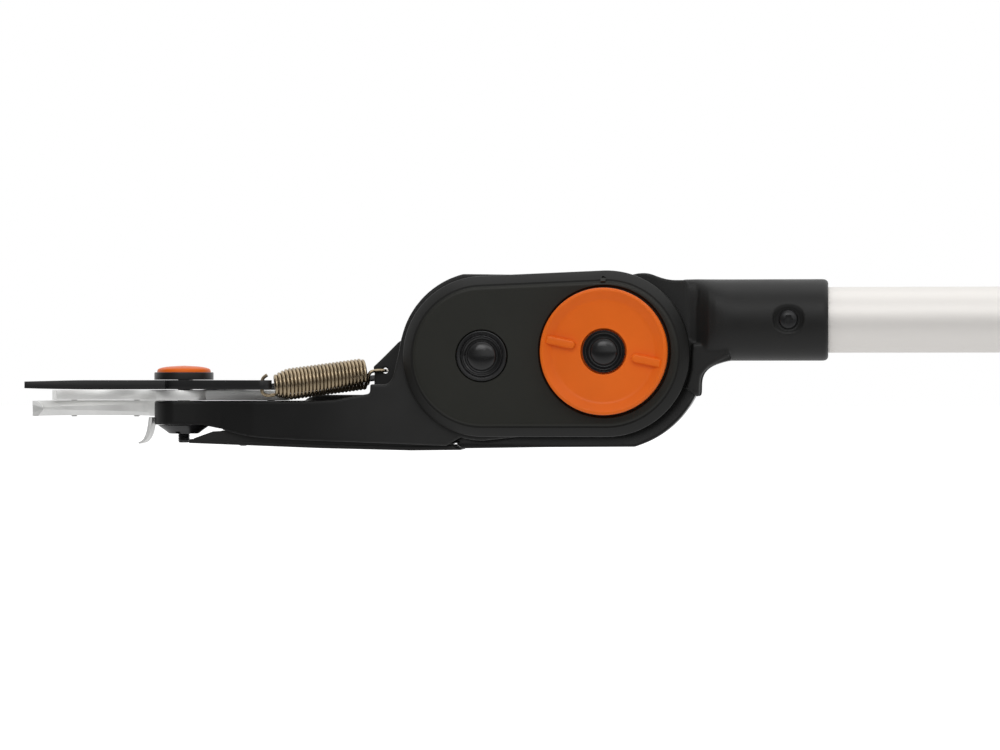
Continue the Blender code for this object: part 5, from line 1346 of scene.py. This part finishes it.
claw_back = PIVOT_X - BOSS_R - CLEARANCE
claw_top = HOOK_BOTTOM - 0.0006
spine = rounded([
    (claw_back - 0.0009, claw_top, 0), (claw_back - 0.0013, claw_top - 0.0040, 0.003),
    (claw_back - 0.0024, claw_top - 0.0088, 0.003), (claw_back - 0.0044, claw_top - 0.0119, 0.002),
    (claw_back - 0.0069, claw_top - 0.0128, 0),
], 6, False)
left, right = [], []
for i, (x, z) in enumerate(spine):
    ahead = Vector(spine[min(i + 1, len(spine) - 1)]) - Vector(spine[max(i - 1, 0)])
    thinner = 1 - 0.55 * (i / (len(spine) - 1)) ** 3
    across = Vector((ahead.y, -ahead.x)).normalized() * CLAW_HALF_THICK * thinner
    left.append((x + across.x, z + across.y))
    right.append((x - across.x, z - across.y))
claw_line = left + right[::-1]
claw_body = slab(claw_line, -CLAW_HALF_WIDE, CLAW_HALF_WIDE, edge=0.0002, segments=2)
claw = solid("bent_claw", claw_body)
end_piece(claw, "head", zinc, "claw")


# The bottom cover: a thin nylon strip that closes the arm's underside, with two flanges inside the
# arm's walls. Two screws hold it, going up into the arm through hollow posts.
DOWN = Matrix.Rotation(pi, 4, "X")
STRIP_SCREWS = [PIVOT_X + 0.030, REEL.x - 0.050]

strip_front = PIVOT_X + 0.0050
strip_rear = REEL.x - 0.0155
middle = (strip_front + strip_rear) / 2
lowest = REEL.x - 0.036
lower = [(strip_front, -0.0450), (middle, -0.0474), (lowest, -0.0484), (strip_rear + 0.0036, -0.0481)]
upper = [(strip_rear, -0.0457), (lowest, -0.0464), (middle, -0.0454), (strip_front, -0.0431)]
strip = solid("underside_strip", slab(lower + upper, -0.0120, 0.0120, edge=0.0004))
flange = [
    (strip_front + 0.0025, -0.0443), (middle, -0.0464), (lowest, -0.0474),
    (REEL.x - 0.020, -0.0472), (REEL.x - 0.020, -0.0440), (PIVOT_X + 0.0340, -0.0400),
    (PIVOT_X + 0.0240, -0.0388), (PIVOT_X + 0.0170, -0.0392), (strip_front + 0.0025, -0.0426),
]
shape(strip, "UNION", slab(flange, 0.0102, 0.0118), slab(flange, -0.0118, -0.0102))
post_top = ARM_TOP - 0.0061
for x, foot in zip(STRIP_SCREWS, (-0.0446, -0.0468)):
    at = Vector((x, 0, 0))
    post = [(0, foot), (0.0044, foot), (0.0040, post_top - 0.0003), (0.0037, post_top), (0, post_top)]
    shape(strip, "UNION", spun(post, UP, at, 56))
    bore = rod(-0.06, (0.0030, -0.0450), (0.0015, 0))
    shape(strip, "DIFFERENCE", spun(bore, UP, at, 40))
end_piece(strip, "head", nylon, "bottom_cover")
for i, x in enumerate(STRIP_SCREWS):
    at = Vector((x, 0, -0.0453))
    name, node = f"strip_screw_{i + 1}", f"bottom_screw_{i + 1}"
    button_screw(
        name, "head", node, head_r=0.0026, head=0.0013, shank_r=0.0014, shank=0.0165, drive_r=0.0010,
        turn=DOWN, at=at,
    )


# The return spring: bronze-toned oil-tempered wire, close wound, hooked through the blade's lever and
# through a hole in the arm's middle rib. It lies a little askew, its ends wound smaller.
WIRE = 0.00172
SPRING_R = 0.0070
SPRING_END_R = 0.0042
SPRING_TURNS = 25.2
SPRING_STEEL = (0.40, 0.32, 0.215)

spring_steel = moulded(
    "oil_tempered_wire", SPRING_STEEL, roughness=0.28, metallic=1.0, spread=0.18, patch=120, grain=2600,
    depth=0.000006,
)


def smooth_path(points, steps):
    """A Catmull-Rom curve through points."""
    made = []
    for i in range(len(points) - 1):
        a, b = points[max(i - 1, 0)], points[i]
        c, d = points[i + 1], points[min(i + 2, len(points) - 1)]
        for step in range(steps):
            t = step / steps
            square, cube = 2 * a - 5 * b + 4 * c - d, 3 * b - a - 3 * c + d
            made.append(0.5 * (2 * b + (c - a) * t + square * t**2 + cube * t**3))
    return made + [points[-1]]


def wire(name, points, diameter):
    """A round wire through points, its ends closed."""
    curve = bpy.data.curves.new(name, "CURVE")
    curve.dimensions = "3D"
    curve.bevel_depth = diameter / 2
    curve.bevel_resolution = 4
    curve.use_fill_caps = True
    spline = curve.splines.new("POLY")
    spline.points.add(len(points) - 1)
    for target, point in zip(spline.points, points):
        target.co = (*point, 1)
    drawn = bpy.data.objects.new(name, curve)
    bpy.context.scene.collection.objects.link(drawn)
    bpy.context.view_layer.update()
    mesh = bpy.data.meshes.new_from_object(drawn.evaluated_get(bpy.context.evaluated_depsgraph_get()))
    bpy.data.objects.remove(drawn)
    bm = bmesh.new()
    bm.from_mesh(mesh)
    bmesh.ops.remove_doubles(bm, verts=bm.verts, dist=0.000001)
    bmesh.ops.recalc_face_normals(bm, faces=bm.faces)
    return solid(name, bm)


hole = Vector((PIVOT_X + LEVER_HOLE.x, LEVER_HOLE.y, BLADE_TOP))
hole_at = Vector((SPRING_HOLE[0], 0, SPRING_HOLE[1]))
coil_start = hole + Vector((0.0059, 0.0027, -0.0029))
coil_end = hole_at + Vector((-0.0090, -0.0023, -0.0014))
axis = (coil_end - coil_start).normalized()
rise = (Vector((0, 0, 1)) - axis * axis.z).normalized()
beside = axis.cross(rise)
coil = []
per_turn = 28
steps = round(SPRING_TURNS * per_turn)
for i in range(steps + 1):
    turn = i / per_turn
    swell = min(1, turn / 4, SPRING_TURNS - turn)
    radius = SPRING_END_R + (SPRING_R - SPRING_END_R) * max(0.0, swell) ** 0.7
    centre = coil_start.lerp(coil_end, i / steps)
    spin = 2 * pi * turn
    coil.append(centre - rise * (radius * cos(spin)) + beside * (radius * sin(spin)))
front_end = [
    hole + Vector((0.0026, 0, 0.0026)),
    hole + Vector((0.0003, 0, 0.0004)),
    hole + Vector((0, 0, -BLADE_THICK - 0.0002)),
    hole + Vector((0.0006, 0.0002, -BLADE_THICK - 0.0020)),
    hole + Vector((0.0026, 0.0012, -BLADE_THICK - 0.0030)),
]
rear_end = [
    coil[-1] + Vector((0.0012, 0, 0.0016)),
    hole_at + Vector((-0.0045, -0.0050, -0.0001)),
    hole_at + Vector((-0.0021, -0.0042, 0.0001)),
    hole_at + Vector((-0.0005, -0.0037, 0)),
    hole_at + Vector((0, -0.0029, 0)),
    hole_at + Vector((0, 0.0035, 0)),
]
path = smooth_path(front_end + [coil[0]], 6)[:-1] + coil + smooth_path([coil[-1]] + rear_end, 6)[1:]
spring = wire("close_wound_spring", path, WIRE)
end_piece(spring, None, spring_steel, "return_spring", angle=60)
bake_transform(spring)


# The pull grip: a nylon bush that slides on the pole, in two ribbed rubber-skinned half shells, with
# a steel stirrup through the pole's slot to the strap.
GRIP_LENGTH = 0.150
GRIP_R = POLE_R + 0.0065
GRIP_SCREW_X = 0.055
GRIP_SCREW_Y = POLE_R + 0.0048
GRIP_RIB = 0.0060
STEM_HALF = 0.0031
RUBBER = (0.022, 0.022, 0.023)

rubber = moulded(
    "soft_black_rubber", RUBBER, roughness=0.62, spread=0.14, patch=35, grain=2400, depth=0.00003
)
half = GRIP_LENGTH / 2
bush_in = POLE_R + 0.0004
shell_in = bush_in + 0.0022
bush_half = half - 0.0040
slide = Vector((SLIDE_X, 0, 0))
bush_line = [
    (shell_in, bush_half), (shell_in, -bush_half), (bush_in + 0.0006, -bush_half),
    (bush_in, -bush_half + 0.0006), (bush_in, bush_half - 0.0006), (bush_in + 0.0006, bush_half),
]
bush = solid("grip_sliding_bush", spun(bush_line, ALONG, HERE, 96))
stem_way = block((-0.0045, -STEM_HALF, -POLE_R - 0.014), (0.0045, STEM_HALF, 0.006 - POLE_R))
shape(bush, "DIFFERENCE", stem_way)
end_piece(bush, "grip", acetal, "grip_bush", home=slide)
rim = GRIP_R + 0.0045
ribs = []
for i in range(-8, 9):
    middle = GRIP_RIB * i
    ribs += [(GRIP_R - 0.0006, middle - 0.0030, 0.0005), (GRIP_R + 0.0005, middle - 0.0022, 0.0006)]
    ribs += [(GRIP_R + 0.0005, middle + 0.0022, 0.0006), (GRIP_R - 0.0006, middle + 0.0030, 0.0005)]
grip_line = [
    (shell_in + 0.0003, -half, 0.0002), (GRIP_R - 0.001, -half, 0.0008), (rim, -half + 0.004, 0.0020),
    (rim, -half + 0.009, 0.0030), (GRIP_R, -half + 0.019, 0.0040),
]
grip_line += ribs
grip_line += [(r, -h, cut) for r, h, cut in reversed(grip_line[:5])]
grip_shell = rounded(grip_line, 3)
for side, name in ((1, "upper"), (-1, "lower")):
    low = 0.00015 if side > 0 else -0.05
    high = 0.05 if side > 0 else -0.00015
    part = solid(f"ribbed_grip_{name}", spun(grip_shell, ALONG, HERE, 96))
    shape(part, "INTERSECT", block((-0.1, -0.05, low), (0.1, 0.05, high)))
    ways = []
    if side < 0:
        ways.append(block((-0.0048, -STEM_HALF, -POLE_R - 0.0052), (0.0048, STEM_HALF, 0.001 - POLE_R)))
    for x in (-GRIP_SCREW_X, GRIP_SCREW_X):
        way = rod(-0.03, (0.0030, -0.0060), (0.0017, 0.0050))
        ways.append(spun(way, UP, Vector((x, GRIP_SCREW_Y, 0)), 32))
    shape(part, "DIFFERENCE", *ways)
    end_piece(part, "grip", rubber, f"grip_{name}", home=slide)
for i, x in enumerate((-GRIP_SCREW_X, GRIP_SCREW_X)):
    at = Vector((x, GRIP_SCREW_Y, -0.0060))
    name, node = f"grip_clamp_screw_{i + 1}", f"grip_screw_{i + 1}"
    button_screw(
        name, "grip", node, head_r=0.0026, head=0.0014, shank_r=0.0015, shank=0.0100, drive_r=0.0010,
        turn=DOWN, at=at, home=slide,
    )
room = STRAP_WIDTH / 2 + 0.0009
arm_side = room + 0.0027
anchor_line = [(0, 0), (0.0019, 0), (0.0022, 0.0003)]
bar = 2 * (arm_side + 0.0004)
anchor_line += [(0.0022, bar - 0.0003), (0.0019, bar), (0, bar)]
anchor = solid("strap_stirrup", spun(anchor_line, NEAR, Vector((0, bar / 2, 0)), 40))
shape(
    anchor,
    "UNION",
    block((-0.0017, -0.0028, -POLE_R - 0.0045), (0.0017, 0.0028, -0.0070)),
    block((-0.0016, -arm_side - 0.0001, -0.0092), (0.0016, arm_side + 0.0001, -0.0062)),
    block((-0.0015, -arm_side, -0.0080), (0.0015, -room, 0)),
    block((-0.0015, room, -0.0080), (0.0015, arm_side, 0)),
)
ease_edges(anchor, width=0.0002, angle=30)
end_piece(anchor, "grip", steel, "strap_anchor", home=slide)


# The foam sleeve: closed-cell rubber foam pulled over the pole's lower end, its ends cut square and
# rounded by handling.
FOAM_LENGTH = 0.26
FOAM_WALL = 0.0038
KNOB_LENGTH = 0.044
FOAM = (0.024, 0.024, 0.025)

foam, tree, shader = blank("closed_cell_foam", Sheen_Weight=0.15)
place = add(tree, "TexCoord", {}).outputs["Object"]
cells = add(tree, "TexVoronoi", {"Vector": place, "Scale": 1400.0}).outputs["Distance"]
rough = noise(tree, place, 60)
stops = [(0.0, tinted(FOAM, 0.5)), (0.35, FOAM), (0.9, tinted(FOAM, 1.5))]
tone = shades(tree, cells, stops)
dress(
    tree, shader, tone, between(tree, rough, low=0.8, high=0.95), strength=0.8, depth=0.00012,
    height=cells,
)
foam_in = POLE_R + CLEARANCE
foam_out = foam_in + FOAM_WALL
sleeve_line = rounded([
    (foam_in, 0, 0.0004), (foam_out - 0.0002, 0, 0.0012), (foam_out, 0.0040, 0.001),
    (foam_out, FOAM_LENGTH - 0.0040, 0.001), (foam_out - 0.0002, FOAM_LENGTH, 0.0012),
    (foam_in, FOAM_LENGTH, 0.0004),
], 5)
sleeve_at = Vector((-KNOB_LENGTH - 0.004 - FOAM_LENGTH, 0, 0))
sleeve = solid("foam_hand_sleeve", spun(sleeve_line, ALONG, sleeve_at, 96))
end_piece(sleeve, "pole", foam, "foam_grip", home=HERE)


# The end knob: an orange moulding pressed on the pole's butt over a nylon core, and held by one
# screw. It stops the hand, and stands on the ground on a small flat.
KNOB_FLAT = 0.0120
KNOB_R = POLE_R + 0.007

centre = sqrt(KNOB_R**2 - KNOB_FLAT**2)
first_turn = degrees(atan2(KNOB_FLAT, centre))
last_turn = 180 - degrees(atan2(POLE_R + 0.0025, KNOB_R * 0.55))
turns = [radians(first_turn + (last_turn - first_turn) * i / 28) for i in range(29)]
ball = [(KNOB_R * sin(a), -centre + KNOB_R * cos(a)) for a in turns]
neck = POLE_R + 0.0028
knob_floor = -KNOB_LENGTH / 2 + CLEARANCE
knob_line = [
    (0, -0.0008), (KNOB_FLAT - 0.0040, -0.0008), (KNOB_FLAT - 0.0032, -0.0001), (KNOB_FLAT - 0.0008, 0),
]
knob_line += ball
knob_line += rounded([
    (neck + 0.0002, ball[-1][1] - 0.0020, 0.001), (neck, -KNOB_LENGTH + 0.0040, 0.0004),
    (neck + 0.0003, -KNOB_LENGTH + 0.0030, 0.0004), (neck + 0.0003, -KNOB_LENGTH + 0.0010, 0.0004),
    (neck - 0.0005, -KNOB_LENGTH, 0.0004), (POLE_R + CLEARANCE, -KNOB_LENGTH, 0.0002),
    (POLE_R + CLEARANCE, knob_floor, 0), (0, knob_floor, 0),
], 4, False)
knob = solid("orange_end_knob", spun(knob_line, ALONG, HERE, 128))
screw_at = Vector((-KNOB_LENGTH + 0.009, 0, 0))
way = rod(-0.05, (0.0036, -POLE_R - 0.0022), (0.0016, -0.004))
shape(knob, "DIFFERENCE", spun(way, UP, screw_at, 40))
end_piece(knob, "pole", orange, "end_knob", angle=40, home=HERE)
at = screw_at + Vector((0, 0, -POLE_R - 0.0022))
button_screw(
    "knob_button_screw", "pole", "knob_screw", head_r=0.0030, head=0.0012, shank_r=0.0015,
    shank=0.0102, drive_r=0.0011, turn=DOWN, at=at, home=HERE,
)
coat("knob_core", nylon)
